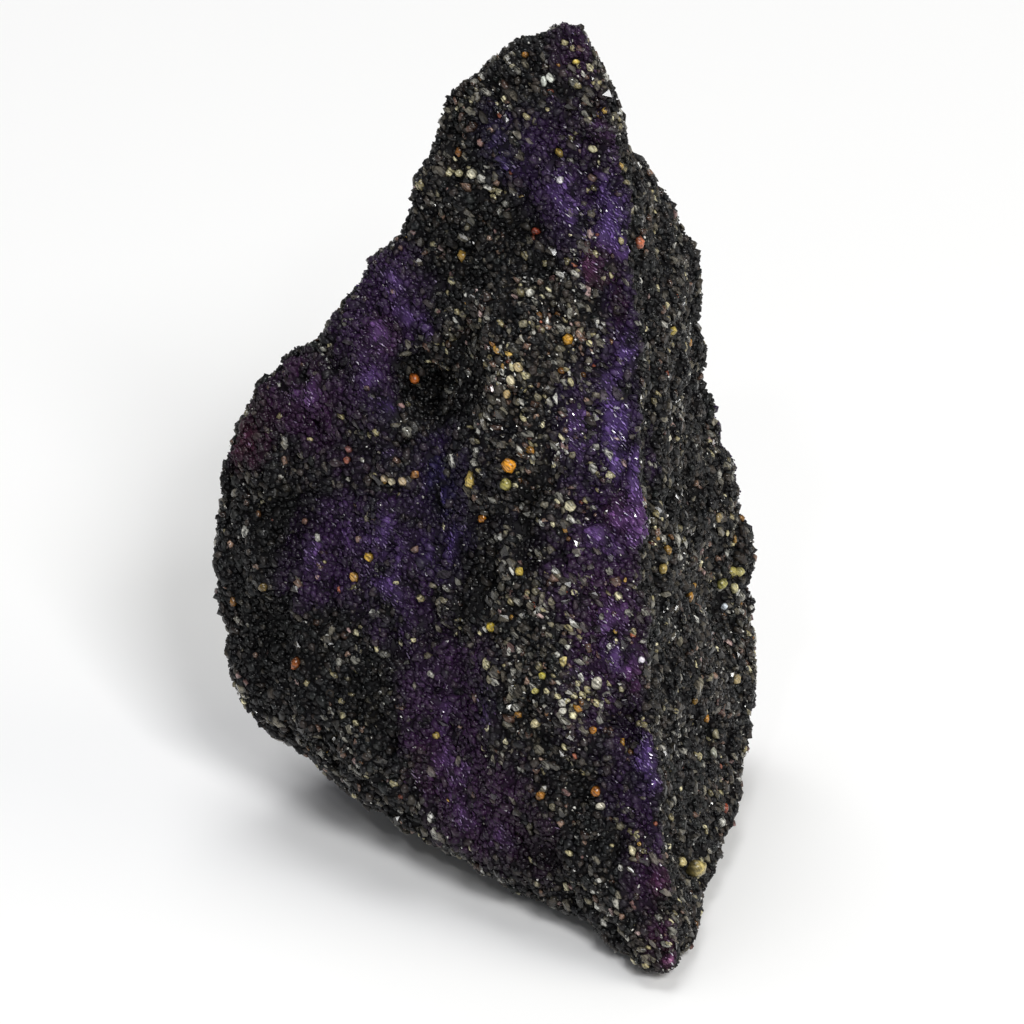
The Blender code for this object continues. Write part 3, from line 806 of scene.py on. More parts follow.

# %% [markdown]
# ## Minerals
#
# A mineral's material starts from the real one. Quartz is see-through with an index of refraction
# of 1.544, feldspar and chert are opaque with a waxy or pearly gloss, and iron oxides stain both
# yellow, orange and red. A ramp picks a grain's colour by its own tint. Noise mottles it, since
# no sand grain is pure, and is drawn out into fine striations along the way that the grains lie.
# Painted shade darkens each grain towards its foot, which parts the grains from one another, and
# more painted shade darkens those in the hollows. In the stained zones the dark minerals take on
# the crystal's violet.

# %% A material for one kind of grain
# roughness: the least and the most. gloss: the specular level. stained: how much violet it takes.
# clouds, foot: the brightness that is left in its darkest mottles, and at its foot as painted shade
Mineral = namedtuple("Mineral", "name tints roughness ior gloss transmission stained clouds foot")
QUARTZ_IOR, CORUNDUM_IOR = 1.544, 1.77
ACROSS_GRAINS = COMBED.cross(Vector(DEPTH)).normalized()
GRAIN_OF_THE_STONE = Matrix((COMBED.normalized(), Vector(DEPTH), ACROSS_GRAINS))
STRIATION = Vector((0.40, 0.10, 0.10))  # length and width of the fine lines in a grain
BRIGHTEST_MOTTLE = 1.5
# Painted shade in the hollows: colours there fall to this share of their brightness
DARKEST_PAINTED_SHADE = 0.35  # the brightness that is left in the deepest hollows
ROUGHNESS_SHUFFLE = 7.31  # turns the tint's random number into another one


def new_material(name):
    """A material, and the function that adds a node to it."""
    material = bpy.data.materials.new(name)
    material.use_nodes = True
    return material, partial(add_node, material.node_tree)


def with_painted_hollow_shade(tree, amount):
    """The amount, darkened where the relief is low, as painted shade."""
    dirt = add_node(tree, "ShaderNodeAttribute", attribute_name="dirt").outputs["Fac"]
    unshaded = {"Value": dirt, "To Min": 1.0, "To Max": DARKEST_PAINTED_SHADE}
    unshaded = add_node(tree, "ShaderNodeMapRange", unshaded)
    return add_node(tree, "ShaderNodeMath", (amount, unshaded), operation="MULTIPLY")


def grain_material(mineral):
    """The material of a mineral's grains."""
    material, add = new_material(mineral.name)
    tree = material.node_tree
    tint = add("ShaderNodeAttribute", attribute_name="tint").outputs["Fac"]
    if mineral.tints:
        node = add("ShaderNodeValToRGB", (tint,))
        ramp = node.color_ramp
        for _ in mineral.tints[2:]:
            ramp.elements.new(0.5)
        for i, (element, colour) in enumerate(zip(ramp.elements, mineral.tints)):
            element.position = i / (len(mineral.tints) - 1)
            element.color = linear(colour)
        colour = node.outputs["Color"]
    else:
        colour = add("ShaderNodeAttribute", attribute_name="colour").outputs["Color"]
    if mineral.stained:
        stain = add("ShaderNodeAttribute", attribute_name="stain").outputs["Fac"]
        colour = add("ShaderNodeMix", {
            "Factor_Float": add("ShaderNodeMath", (stain, mineral.stained), operation="MULTIPLY"),
            "A_Color": colour,
            "B_Color": violet_colour(tree),
        }, data_type="RGBA").outputs[2]

    along_grains = add("ShaderNodeMapping", {
        "Vector": add("ShaderNodeTexCoord").outputs["Object"],
        "Rotation": GRAIN_OF_THE_STONE.transposed().to_euler(),
        "Scale": STRIATION * MM,
    }, vector_type="TEXTURE")
    mottled = add("ShaderNodeMapRange", {
        "Value": add("ShaderNodeTexNoise", {"Vector": along_grains, "Scale": 1.0, "Detail": 2.0}),
        "From Min": 0.36,
        "From Max": 0.64,
        "To Min": mineral.clouds,
        "To Max": BRIGHTEST_MOTTLE,
    })
    # Painted shade: each grain is darker towards its foot, with a lit cap at its tip
    up = add("ShaderNodeAttribute", attribute_name="up").outputs["Fac"]
    painted_foot_shade = add("ShaderNodeMapRange", {
        "Value": up, "From Min": -0.35, "From Max": 0.80, "To Min": mineral.foot,
    }, interpolation_type="SMOOTHSTEP")
    shade = add("ShaderNodeMath", (mottled, painted_foot_shade), operation="MULTIPLY")
    shuffled = add("ShaderNodeMath", (tint, ROUGHNESS_SHUFFLE), operation="MULTIPLY")
    feed(tree, tree.nodes["Principled BSDF"], {
        "Base Color": add("ShaderNodeVectorMath", {
            "Vector": colour, "Scale": with_painted_hollow_shade(tree, shade),
        }, operation="SCALE"),
        "Roughness": add("ShaderNodeMapRange", {
            "Value": add("ShaderNodeMath", (shuffled,), operation="FRACT"),
            "To Min": mineral.roughness[0],
            "To Max": mineral.roughness[1],
        }),
        "IOR": mineral.ior,
        "Specular IOR Level": mineral.gloss,
        "Transmission Weight": mineral.transmission,
    })
    return material


# %% The minerals
# Ilmenite, an iron and titanium ore, worn by water: black beads with a faint gleam
ilmenite = grain_material(Mineral(
    "black_ilmenite_sand", ("#0e0c10", "#121416", "#1b1818", "#232425"),
    (0.20, 0.50), 1.55, 0.20, 0.0, 0.9, 0.65, 0.8))
# Basalt, chipped and worn: warm and cool near-blacks, a little glossier
basalt = grain_material(Mineral(
    "dark_basalt_sand", ("#151416", "#1d201f", "#302926", "#433f38"),
    (0.15, 0.45), 1.55, 0.26, 0.0, 0.8, 0.60, 0.5))
# Smoky quartz, freshly broken: see-through grey-brown chips with sharp glints
smoky_quartz = grain_material(Mineral(
    "smoky_quartz_sand", ("#2c2a29", "#48443e", "#6a6458", "#96907e"),
    (0.08, 0.30), QUARTZ_IOR, 0.5, 0.30, 0.5, 0.25, 0.10))
# Quartz under a thin skin of iron: dull brown, with some light through it
brown_quartz = grain_material(Mineral(
    "brown_stained_quartz_sand", ("#2a1e1a", "#4a362c", "#74584a", "#a08472"),
    (0.12, 0.35), QUARTZ_IOR, 0.5, 0.20, 0.3, 0.25, 0.12))
# Chert, worn: opaque greenish grey with a waxy gloss
chert = grain_material(Mineral(
    "grey_chert_sand", ("#2c2a26", "#4a463c", "#6a6452", "#908970"),
    (0.20, 0.45), 1.53, 0.4, 0.0, 0.35, 0.30, 0.10))
# Clear quartz, broken: pale and glassy, the most eye-catching of the common sand
clear_quartz = grain_material(Mineral(
    "clear_quartz_sand", ("#74726a", "#a29f94", "#cac7bc", "#ecebe2"),
    (0.05, 0.22), QUARTZ_IOR, 0.5, 0.35, 0.0, 0.10, 0.05))
# Splinters of clean quartz: white sparks, as bright as sand gets, glossy, and painted near white as
# glints
painted_glint_splinters = grain_material(Mineral(
    "bright_quartz_splinters", ("#b4b2a8", "#e2e0d8", "#fffef8"),
    (0.04, 0.16), QUARTZ_IOR, 0.9, 0.15, 0.0, 0.80, 0.50))
# Feldspar, rounded: cream and pearly, nearly opaque
feldspar = grain_material(Mineral(
    "cream_feldspar_sand", ("#6e664a", "#a0956e", "#cac094", "#f2eac2"),
    (0.12, 0.35), 1.53, 0.5, 0.15, 0.0, 0.15, 0.05))
# Quartz stained through by iron: amber, with light in it
amber_quartz = grain_material(Mineral(
    "iron_stained_quartz_sand", ("#4a2e12", "#7a5020", "#b07e30", "#deb860"),
    (0.12, 0.35), QUARTZ_IOR, 0.5, 0.20, 0.0, 0.25, 0.10))
# Jasper, quartz full of iron oxide, worn: opaque brick red
jasper = grain_material(Mineral(
    "red_jasper_sand", ("#34180f", "#582a1c", "#80402c", "#a06048"),
    (0.20, 0.40), 1.54, 0.4, 0.0, 0.0, 0.30, 0.15))
# Rose quartz, broken: dusty pink and half clear
rose_quartz = grain_material(Mineral(
    "rose_quartz_sand", ("#5c4440", "#826460", "#ac8c88", "#d6bab4"),
    (0.10, 0.30), QUARTZ_IOR, 0.5, 0.25, 0.1, 0.15, 0.08))
# Chips of the stone's own corundum: lavender sparks that bend light strongly, painted pale to near
# white as glints
painted_glint_corundum = grain_material(Mineral(
    "lavender_corundum_chips", ("#5c4c78", "#9080a8", "#cdc4da", "#fbf5fa"),
    (0.05, 0.20), CORUNDUM_IOR, 0.5, 0.30, 0.0, 0.55, 0.30))
# Stained feldspar and quartz, each with a colour of its own: waxy, rounded beads
standout_stone = grain_material(Mineral(
    "stained_feldspar_grains", (), (0.12, 0.30), 1.53, 0.5, 0.10, 0.0, 0.35, 0.12))
print("sand materials:", len(bpy.data.materials))

# %% [markdown]
# ## The violet skin and its strokes
#
# From far off the bare skin looks silky, because short strokes of crystal cover it, all combed
# one way. The strokes are real grains, scattered later. The skin under them shows in the gaps:
# violet where it is bare or stained, and nearly black under the crust, a near-black that is partly
# the crystal's own and partly painted shade between the grains. Where the painted sheen lightens
# the strokes, the skin between them is painted darker, as shade in the gaps.

# %% Violet corundum
VEIN_SIZE = 0.5
# The crystal's own near-black, and painted shade between the grains
NEAR_BLACK_AND_SHADE = linear("#0b0a0c")
PAINTED_GLINT_LAVENDER = linear("#9c90ac")


def crystal_material():
    """Etched corundum between the grains: deep violet and nearly matt."""
    material, add = new_material("violet_corundum_skin")
    tree = material.node_tree
    stain = add("ShaderNodeAttribute", attribute_name="stain").outputs["Fac"]
    glow = add("ShaderNodeAttribute", attribute_name="glow").outputs["Fac"]
    veins = add("ShaderNodeTexNoise", {
        "Vector": add("ShaderNodeTexCoord").outputs["Object"],
        "Scale": 1.0 / (VEIN_SIZE * MM),
        "Detail": 3.0,
    })
    patchy = add("ShaderNodeMapRange", {
        "Value": veins, "From Min": 0.35, "From Max": 0.65, "To Min": 0.2, "To Max": 0.8,
    })
    # Painted shade: where the sheen is painted, the skin between the strokes is darkened, as shade
    # in the gaps
    shade = add("ShaderNodeMapRange", {"Value": glow, "To Min": 1.0, "To Max": 0.6})
    colour = add("ShaderNodeMix", {
        "Factor_Float": add("ShaderNodeMath", (stain, patchy), operation="MULTIPLY"),
        "A_Color": NEAR_BLACK_AND_SHADE,
        "B_Color": add("ShaderNodeVectorMath", {
            "Vector": violet_colour(tree), "Scale": with_painted_hollow_shade(tree, shade),
        }, operation="SCALE"),
    }, data_type="RGBA").outputs[2]
    feed(tree, tree.nodes["Principled BSDF"], {
        "Base Color": colour, "Roughness": 0.6, "IOR": CORUNDUM_IOR, "Specular IOR Level": 0.06,
    })
    return material


def stroke_material():
    """Fine slivers of corundum: silky violet, and a few glossier ones painted pale lavender as
    glints.
    """
    material, add = new_material("violet_corundum_strokes")
    tree = material.node_tree
    tint = add("ShaderNodeAttribute", attribute_name="tint").outputs["Fac"]
    few_bright = add("ShaderNodeMath", (tint, 3.0), operation="POWER")
    brightness = add("ShaderNodeMapRange", {"Value": few_bright, "To Min": 0.50, "To Max": 2.4})
    # Painted glints: the glossiest strokes are painted pale lavender
    glint_paleness = add("ShaderNodeMapRange", {"Value": tint, "From Min": 0.70, "To Max": 0.50})
    colour = add("ShaderNodeMix", {
        "Factor_Float": glint_paleness,
        "A_Color": add("ShaderNodeVectorMath", {
            "Vector": violet_colour(tree), "Scale": with_painted_hollow_shade(tree, brightness),
        }, operation="SCALE"),
        "B_Color": PAINTED_GLINT_LAVENDER,
    }, data_type="RGBA").outputs[2]
    feed(tree, tree.nodes["Principled BSDF"], {
        "Base Color": colour,
        "Roughness": add("ShaderNodeMapRange", {"Value": tint, "To Min": 0.40, "To Max": 0.15}),
        "IOR": CORUNDUM_IOR,
        "Specular IOR Level": 0.30,
    })
    return material


crystal_mesh.materials.clear()
crystal_mesh.materials.append(crystal_material())
violet_strokes = stroke_material()
print("crystal material has", len(crystal_mesh.materials[0].node_tree.nodes), "nodes")

# %% [markdown]
# ## Standout grains
#
# Some grains are large or bright enough to be known one by one. Each gets its own place, size
# and colour. A ray from the front finds the crystal there, so the grain sits on it. They are one
# mesh, and each carries its colour as an attribute, which saves seventy materials.

# %% Standout grains
# side, height: its middle. turn: degrees to the right. taper: 0 is even, towards 1 is a drop
Grain = namedtuple("Grain", "side height width length turn colour taper", defaults=(0.0,))
STANDOUT_GRAINS = [Grain(*row) for row in (
    (-7.8, 25.6, 0.80, 0.88, 0, "#dc9428"), (-9.6, 24.9, 0.62, 1.05, 0, "#d8bc68", 0.5),
    (-7.9, 24.6, 0.68, 0.68, 0, "#98904c"), (-4.7, 23.6, 0.64, 0.64, 0, "#d6ceac"),
    (-4.9, 31.8, 0.66, 0.62, 0, "#bf8c2c"), (-1.4, 36.7, 0.62, 0.66, 0, "#b86848"),
    (1.4, 5.2, 1.15, 0.90, -15, "#b8a668"), (0.8, 5.5, 0.55, 0.60, 20, "#cdbd84"),
    (3.7, 19.9, 0.85, 0.80, 0, "#aaa05a"), (3.2, 19.5, 0.60, 0.70, 30, "#9a9450"),
    (4.3, 20.1, 0.60, 0.55, 0, "#beb678"), (3.9, 19.2, 0.50, 0.55, 0, "#c8c090"),
    (-12.6, 30.0, 0.55, 0.66, -20, "#a85a20"), (-14.8, 20.9, 0.58, 0.56, 0, "#c49c3c"),
    (-15.6, 19.9, 0.50, 0.56, -30, "#b88c48"), (-8.6, 17.4, 0.54, 0.50, 20, "#bca43c"),
    (-7.3, 20.2, 0.46, 0.50, 0, "#bca448"), (-9.1, 22.9, 0.50, 0.46, -30, "#b07020"),
    (-10.3, 40.4, 0.50, 0.42, -20, "#d2caa0"), (-9.6, 40.2, 0.58, 0.55, 0, "#d8d2b8"),
    (-18.6, 15.5, 0.78, 0.46, -70, "#86491e"), (3.2, 7.9, 0.46, 0.56, 0, "#8c3c22"),
    (0.1, 21.2, 0.46, 0.56, 20, "#9c7834"), (-0.1, 20.4, 0.58, 0.52, 60, "#a69050"),
    (1.3, 18.8, 0.46, 0.60, 20, "#9c7028"), (1.6, 13.6, 0.42, 0.42, 0, "#8c6c30"),
    (-7.3, 30.4, 0.50, 0.60, -40, "#cdb98c"), (-7.7, 29.8, 0.45, 0.60, -30, "#d8ccaa"),
    (-8.0, 29.1, 0.45, 0.55, 10, "#ab9468"), (-3.4, 14.6, 0.58, 0.70, 0, "#bcb8a8"),
    (-1.2, 15.8, 0.40, 0.40, 0, "#d8d2dc"), (-16.0, 25.8, 0.42, 0.42, 0, "#8a5040"),
    (-15.9, 26.4, 0.46, 0.38, 0, "#94605a"), (-12.6, 25.1, 0.50, 0.46, 0, "#96683c"),
    (-14.1, 25.0, 0.48, 0.42, 60, "#bca888"), (-13.7, 24.8, 0.40, 0.46, -30, "#d0c4a4"),
    (-13.2, 24.8, 0.44, 0.52, -30, "#b4a080"), (-6.1, 14.9, 0.40, 0.46, -60, "#b8ac4c"),
    (-6.4, 14.2, 0.44, 0.36, 0, "#c0b664"), (-5.1, 15.7, 0.40, 0.58, 10, "#c4b478"),
    (-5.1, 13.2, 0.48, 0.36, 0, "#d6d2c4"), (-3.7, 12.3, 0.44, 0.42, 0, "#b87a2c"),
    (-11.5, 11.9, 0.44, 0.44, 0, "#a08a4c"), (-6.4, 12.6, 0.50, 0.60, 40, "#c0b48c"),
    (-6.2, 8.9, 0.56, 0.50, 0, "#9c6a2c"), (-3.4, 9.2, 0.50, 0.60, 0, "#ac6a24"),
    (-3.2, 8.4, 0.50, 0.44, 0, "#d2ccb8"), (-1.6, 6.2, 0.60, 0.40, 70, "#c8bf9c"),
    (-6.6, 34.1, 0.55, 0.44, 0, "#dcd9cc"), (-10.1, 36.1, 0.46, 0.66, -20, "#a4823c"),
    (-6.4, 37.3, 0.52, 0.40, 0, "#7c3220"), (-9.1, 41.8, 0.44, 0.44, 0, "#a48078"),
    (-10.2, 41.4, 0.44, 0.60, 0, "#86582c"), (-5.2, 41.2, 0.40, 0.58, -35, "#98803c"),
    (-3.7, 41.3, 0.52, 0.40, 10, "#c2bc98"), (-5.2, 39.8, 0.40, 0.40, 0, "#dedadc"),
    (-4.4, 45.6, 0.44, 0.32, 0, "#c8b054"), (-5.7, 44.9, 0.40, 0.60, -30, "#d4d6cc"),
    (-6.1, 44.7, 0.36, 0.62, 0, "#c2c6bc"), (-6.9, 46.1, 0.40, 0.32, 0, "#a8742c"),
    (0.4, 32.4, 0.56, 0.50, 0, "#b4a050"), (0.2, 26.9, 0.40, 0.40, 0, "#ccc8b4"),
    (3.0, 22.9, 0.42, 0.54, 0, "#a08c60"), (4.0, 14.5, 0.50, 0.62, 20, "#ac9a70"),
    (2.2, 12.6, 0.42, 0.42, 0, "#a87426"), (2.7, 10.6, 0.42, 0.72, 0, "#a8a898"),
    (-19.5, 28.1, 0.40, 0.74, 10, "#887e60"), (-18.2, 22.7, 0.40, 0.36, 0, "#7c5c50"),
    (-20.7, 23.0, 0.36, 0.54, 0, "#5c4028"), (-20.3, 19.4, 0.54, 0.46, 0, "#705c30"),
    (-22.0, 18.6, 0.46, 0.54, 0, "#7c5424"), (3.4, 18.2, 0.42, 0.42, 0, "#c4ccd4"),
    (0.2, 0.8, 0.28, 0.28, 0, "#b878a4"),
)]
print(len(STANDOUT_GRAINS), "standout grains")

# %% Set them on the crystal
STANDOUT_LIFT = 0.25  # how far above the skin the middle sits, as a share of the width
STANDOUT_CORNERS = 26
STANDOUT_STRETCH = (1.0, 1.0, 0.85)
STANDOUT_UNEVENNESS = 0.18
STANDOUT_SEED, TINT_SEED = 900, 77
IN_FRONT = -20.0  # millimetres: where the rays start


def on_front(grain, surface):
    """Where a ray from the front meets the crystal, and the way out of it there."""
    start = Vector(off_stone(grain.side, grain.height, IN_FRONT))
    place, normal, _, _ = surface.ray_cast(start, Vector(DEPTH))
    return place, normal


def standout_mesh(surface):
    """All standout grains as one mesh, each with its own colour and bake square."""
    cells = math.ceil(math.sqrt(len(STANDOUT_GRAINS)))
    rng = np.random.default_rng(TINT_SEED)
    joined = bmesh.new()
    colour_layer = joined.verts.layers.float_color.new("colour")
    up_layer = joined.verts.layers.float.new("up")
    tint_layer = joined.verts.layers.float.new("tint")
    map_layer = joined.loops.layers.uv.new("OFBake")
    for number, grain in enumerate(STANDOUT_GRAINS):
        place, normal = on_front(grain, surface)
        if place is None:
            print("no stone behind", grain)
            continue
        mesh = hull_pebble(
            "standout", STANDOUT_CORNERS, STANDOUT_STRETCH, STANDOUT_UNEVENNESS,
            STANDOUT_SEED + number, smooth=True)
        spots = [Vector(spot.vector) for spot in mesh.attributes["spot"].data]
        mesh.attributes.remove(mesh.attributes["spot"])
        for vert in mesh.vertices:
            vert.co.x *= 1.0 - grain.taper * vert.co.y
        size = Matrix.Diagonal((grain.width / 2, grain.length / 2, grain.width / 2, 1.0))
        turn = Matrix.Rotation(math.radians(-grain.turn), 4, "Z")
        upright = Matrix((SIDE, HEIGHT, -DEPTH)).transposed().to_4x4()
        middle = place + normal * STANDOUT_LIFT * grain.width
        mesh.transform(Matrix.Translation(middle) @ upright @ turn @ size)
        first = len(joined.verts)
        first_face = len(joined.faces)
        joined.from_mesh(mesh)
        joined.verts.ensure_lookup_table()
        joined.faces.ensure_lookup_table()
        tint = rng.uniform()
        for vert in joined.verts[first:]:
            vert[colour_layer] = linear(grain.colour)
            vert[up_layer] = (vert.co - middle).dot(normal) / (grain.width / 2)
            vert[tint_layer] = tint
        corner = Vector((number % cells, number // cells, 0.0))
        loops = [loop for face in joined.faces[first_face:] for loop in face.loops]
        for loop, spot in zip(loops, spots):
            loop[map_layer].uv = ((corner + spot) / cells).xy
        bpy.data.meshes.remove(mesh)
    mesh = bpy.data.meshes.new("standout_grains")
    joined.to_mesh(mesh)
    joined.free()
    return mesh


surface = BVHTree.FromPolygons(places.tolist(), [list(p.vertices) for p in crystal_mesh.polygons])
standout = standout_mesh(surface)
print("standout grains have", len(standout.polygons), "faces")

# %% [markdown]
# ## Room for grains
#
# The scatter needs to know where grains may go: not on the floor side, few on bare skin, none
# where a standout grain already sits, and few in small pits, which stay as black gaps. Strokes
# go where the skin is bare or deeply stained, and sparkles, pale as painted glints, gather in
# clumps on the ridge. Pale minerals lie together in some parts of the crust, and dark ones in the
# hollows and on the left lobe as painted shade, so one more number bends the draw there.

# %% Room, at each point of the crystal
FLOOR_GAP = 0.5
BARE_THINNING = 0.88
PIT_THINNING = 0.80
SPARKLE_CLUMP = 0.8
RIDGE_EDGE = (-6.5, -4.5)  # sides between which the ridge's left flank begins

clear_of_floor = places[:, 2] > FLOOR_GAP
under_room = (1.0 - BARE_THINNING * bare) * clear_of_floor
room = under_room * (1.0 - PIT_THINNING * pits)
stroke_room = np.clip(1.2 * bare + 0.35 * stain * stain, 0.0, 1.0) * clear_of_floor
on_ridge = front * smooth_step(*RIDGE_EDGE, on_stone[:, 0])
gathered = smooth_step(-0.10, 0.35, noise_over(places / SPARKLE_CLUMP, 71.0))
# Painted glints: the pale sparkle chips gather where the sheen is painted, on the ridge
sparkle_room = (0.1 * stain + 0.9 * glow) * gathered * on_ridge * clear_of_floor
for grain in STANDOUT_GRAINS:
    place, _ = on_front(grain, surface)
    if place is not None:
        away = np.linalg.norm(places - np.array(place), axis=1)
        free = away > 0.5 * max(grain.width, grain.length)
        room *= free
        stroke_room *= free
print("skin with room for grains:", round(float(room.mean()), 2))

# %% Pale and dark zones of the crust
Zone = namedtuple("Zone", "side height across along turn pale")
# Some dark zones, in the hollows and on the left lobe, also darken the crust as painted shade
MINERAL_ZONES = [Zone(*row) for row in (
    (-6.8, 45.0, 3.0, 1.6, 0, -0.05), (-4.3, 47.0, 1.8, 1.0, 0, -0.80),
    (-8.0, 40.2, 3.4, 2.8, 0, -0.42), (-8.8, 36.4, 3.2, 2.2, 0, -0.45),
    (-12.3, 29.6, 2.4, 3.6, 0, -0.60), (-10.8, 31.9, 1.2, 0.8, 0, 0.80),
    (-13.7, 24.9, 0.8, 0.5, 0, 1.20), (-7.7, 29.8, 1.1, 1.4, 0, 0.45),
    (-4.4, 31.2, 2.4, 1.6, 0, 0.35), (-5.7, 27.2, 3.0, 3.4, 0, 0.28),
    (0.6, 30.0, 2.6, 9.0, 0, -0.90), (1.6, 13.0, 2.6, 8.0, 0, -0.80),
    (0.7, 33.0, 0.7, 2.4, 0, 0.90), (0.2, 27.6, 0.6, 1.8, 0, 0.50),
    (0.6, 15.5, 1.4, 3.6, 0, 0.50), (3.0, 16.3, 0.9, 1.6, 0, 0.50),
    (-2.9, 21.3, 1.2, 1.0, 0, -1.20), (-17.7, 20.9, 1.0, 1.6, 0, -1.20),
    (1.4, 25.2, 1.2, 2.0, 0, 0.40), (0.3, 21.9, 0.7, 2.4, -45, 1.10),
    (-19.8, 22.0, 3.6, 4.6, 0, -1.00), (-20.0, 15.6, 3.2, 3.6, 0, -0.85),
    (-16.9, 29.0, 4.6, 2.8, 0, -0.50), (-13.8, 22.2, 4.4, 2.4, 0, -0.35),
    (-12.3, 10.5, 4.6, 5.0, 0, -0.50), (-6.7, 5.6, 1.6, 1.4, 0, -0.90),
    (-3.8, 13.4, 3.4, 4.6, 0, 0.00), (-3.4, 8.0, 2.6, 2.6, 0, -0.15),
    (-0.8, 2.6, 2.2, 2.4, 0, -0.12),
)]
PALE_NOISES = ((0.55, 2.6, 51.0), (1.10, 1.1, 53.0), (0.50, 0.6, 55.0))  # share, size and seed
STAIN_DARKENING = 1.3  # pale grains are rare where the violet stains, but not on the ridge
PALE_RANGE = (-1.2, 0.9)
BIAS_STRENGTH = 2.0

pale = sum(share * noise_over(places / size, seed) for share, size, seed in PALE_NOISES)
pale -= STAIN_DARKENING * stain * (1.0 - on_ridge)
for zone in MINERAL_ZONES:
    pale += seen * zone.pale * oval(zone, on_stone[:, 0], on_stone[:, 1])
dark_bias = np.exp(-BIAS_STRENGTH * np.clip(pale, *PALE_RANGE))
for name, values in zip(ROOMS, (under_room, room, stroke_room, sparkle_room)):
    write_attribute(crystal_mesh, name, values)
write_attribute(crystal_mesh, "dark_bias", dark_bias)
print("the dark bias runs from", dark_bias.min().round(2), "to", dark_bias.max().round(2))

# %% [markdown]
# ## Scatter the minerals
#
# Each kind of grain is one run of the tree on the crystal's skin. Small dark grains fill in
# underneath, packed and coarse grains lie on them, and crumbs and splinters, painted white as
# glints, sit on top.
# The fine strokes of violet crystal are scattered the same way. The result is turned into a plain
# mesh, the helper object goes away with its modifier, and the piece is brought from millimetres
# to metres.

# %% Beds and sands
Bed = namedtuple("Bed", "spacing seed lowest_lift highest_lift spread room")
UNDER = Bed(0.28, 31, -0.05, 0.03, 1.0, "under_room")
PACKED = Bed(0.33, 7, -0.05, 0.06, 0.7, "room")
COARSE = Bed(0.62, 11, -0.05, 0.06, 0.7, "room")
CRUMBS = Bed(0.31, 23, 0.03, 0.13, 0.8, "room")
SPLINTERS = Bed(0.40, 29, 0.12, 0.21, 0.8, "room")
SPARKLES = Bed(0.23, 41, 0.06, 0.14, 0.35, "sparkle_room")
STROKES = Bed(0.13, 17, 0.02, 0.10, 0.25, "stroke_room")

# share: which part of the random draw is this mineral's. radius: the smallest and the largest
Sand = namedtuple("Sand", "name bed share shapes radius material")
SANDS = (
    Sand("black_under_grains", UNDER, (-0.01, 0.55), crumb_grains, (0.14, 0.22), ilmenite),
    Sand("dark_under_grains", UNDER, (0.55, 1.01), crumb_grains, (0.14, 0.22), basalt),
    Sand("black_grains", PACKED, (-0.01, 0.27), worn_grains, (0.12, 0.28), ilmenite),
    Sand("dark_grains", PACKED, (0.27, 0.50), worn_grains, (0.12, 0.28), basalt),
    Sand("smoky_grains", PACKED, (0.50, 0.66), sharp_chips, (0.12, 0.29), smoky_quartz),
    Sand("brown_grains", PACKED, (0.66, 0.73), worn_grains, (0.12, 0.27), brown_quartz),
    Sand("grey_grains", PACKED, (0.73, 0.79), worn_grains, (0.12, 0.27), chert),
    Sand("clear_grains", PACKED, (0.79, 0.87), sharp_chips, (0.12, 0.28), clear_quartz),
    Sand("cream_grains", PACKED, (0.87, 0.938), oval_grains, (0.12, 0.24), feldspar),
    Sand("amber_grains", PACKED, (0.938, 0.96), oval_grains, (0.12, 0.22), amber_quartz),
    Sand("red_grains", PACKED, (0.96, 0.968), oval_grains, (0.09, 0.18), jasper),
    Sand("rose_grains", PACKED, (0.968, 1.01), sharp_chips, (0.12, 0.22), rose_quartz),
    Sand("coarse_dark_grains", COARSE, (-0.01, 0.40), worn_grains, (0.19, 0.31), basalt),
    Sand("coarse_smoky_grains", COARSE, (0.40, 0.66), sharp_chips, (0.18, 0.30), smoky_quartz),
    Sand("coarse_brown_grains", COARSE, (0.66, 0.76), worn_grains, (0.18, 0.30), brown_quartz),
    Sand("coarse_grey_grains", COARSE, (0.76, 0.84), worn_grains, (0.18, 0.29), chert),
    Sand("coarse_clear_grains", COARSE, (0.84, 0.93), oval_grains, (0.18, 0.28), clear_quartz),
    Sand("coarse_cream_grains", COARSE, (0.93, 1.01), oval_grains, (0.17, 0.27), feldspar),
    Sand("black_crumbs", CRUMBS, (-0.01, 0.45), crumb_grains, (0.05, 0.10), ilmenite),
    Sand("smoky_crumbs", CRUMBS, (0.45, 0.86), crumb_chips, (0.05, 0.10), smoky_quartz),
    Sand("pale_crumbs", CRUMBS, (0.86, 1.01), crumb_chips, (0.04, 0.08), clear_quartz),
    # Painted glints: the white splinters stand in for sparks of light
    Sand("bright_splinters", SPLINTERS, (0.85, 1.01), crumb_chips, (0.04, 0.085), painted_glint_splinters),
    Sand("violet_sparkles", SPARKLES, (-0.01, 1.01), strokes, (0.035, 0.075), painted_glint_corundum),
    Sand("violet_strokes", STROKES, (-0.01, 1.01), strokes, (0.035, 0.065), violet_strokes),
)
print(len(SANDS), "kinds of sand")


# %% Scatter, keep in the box and show
EDGE_GAP = 0.02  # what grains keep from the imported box's sides


def scattered(name, settings):
    """The grains that the tree scatters with these settings, as a plain mesh in millimetres."""
    helper = bpy.data.objects.new(name, crystal_mesh)
    bpy.context.scene.collection.objects.link(helper)
    modifier = helper.modifiers.new("grains", "NODES")
    modifier.node_group = grains_on_stone
    for item in grains_on_stone.interface.items_tree:
        if item.name in settings:
            modifier[item.identifier] = settings[item.name]
    depsgraph = bpy.context.evaluated_depsgraph_get()
    mesh = bpy.data.meshes.new_from_object(helper.evaluated_get(depsgraph))
    bpy.data.objects.remove(helper)
    return mesh


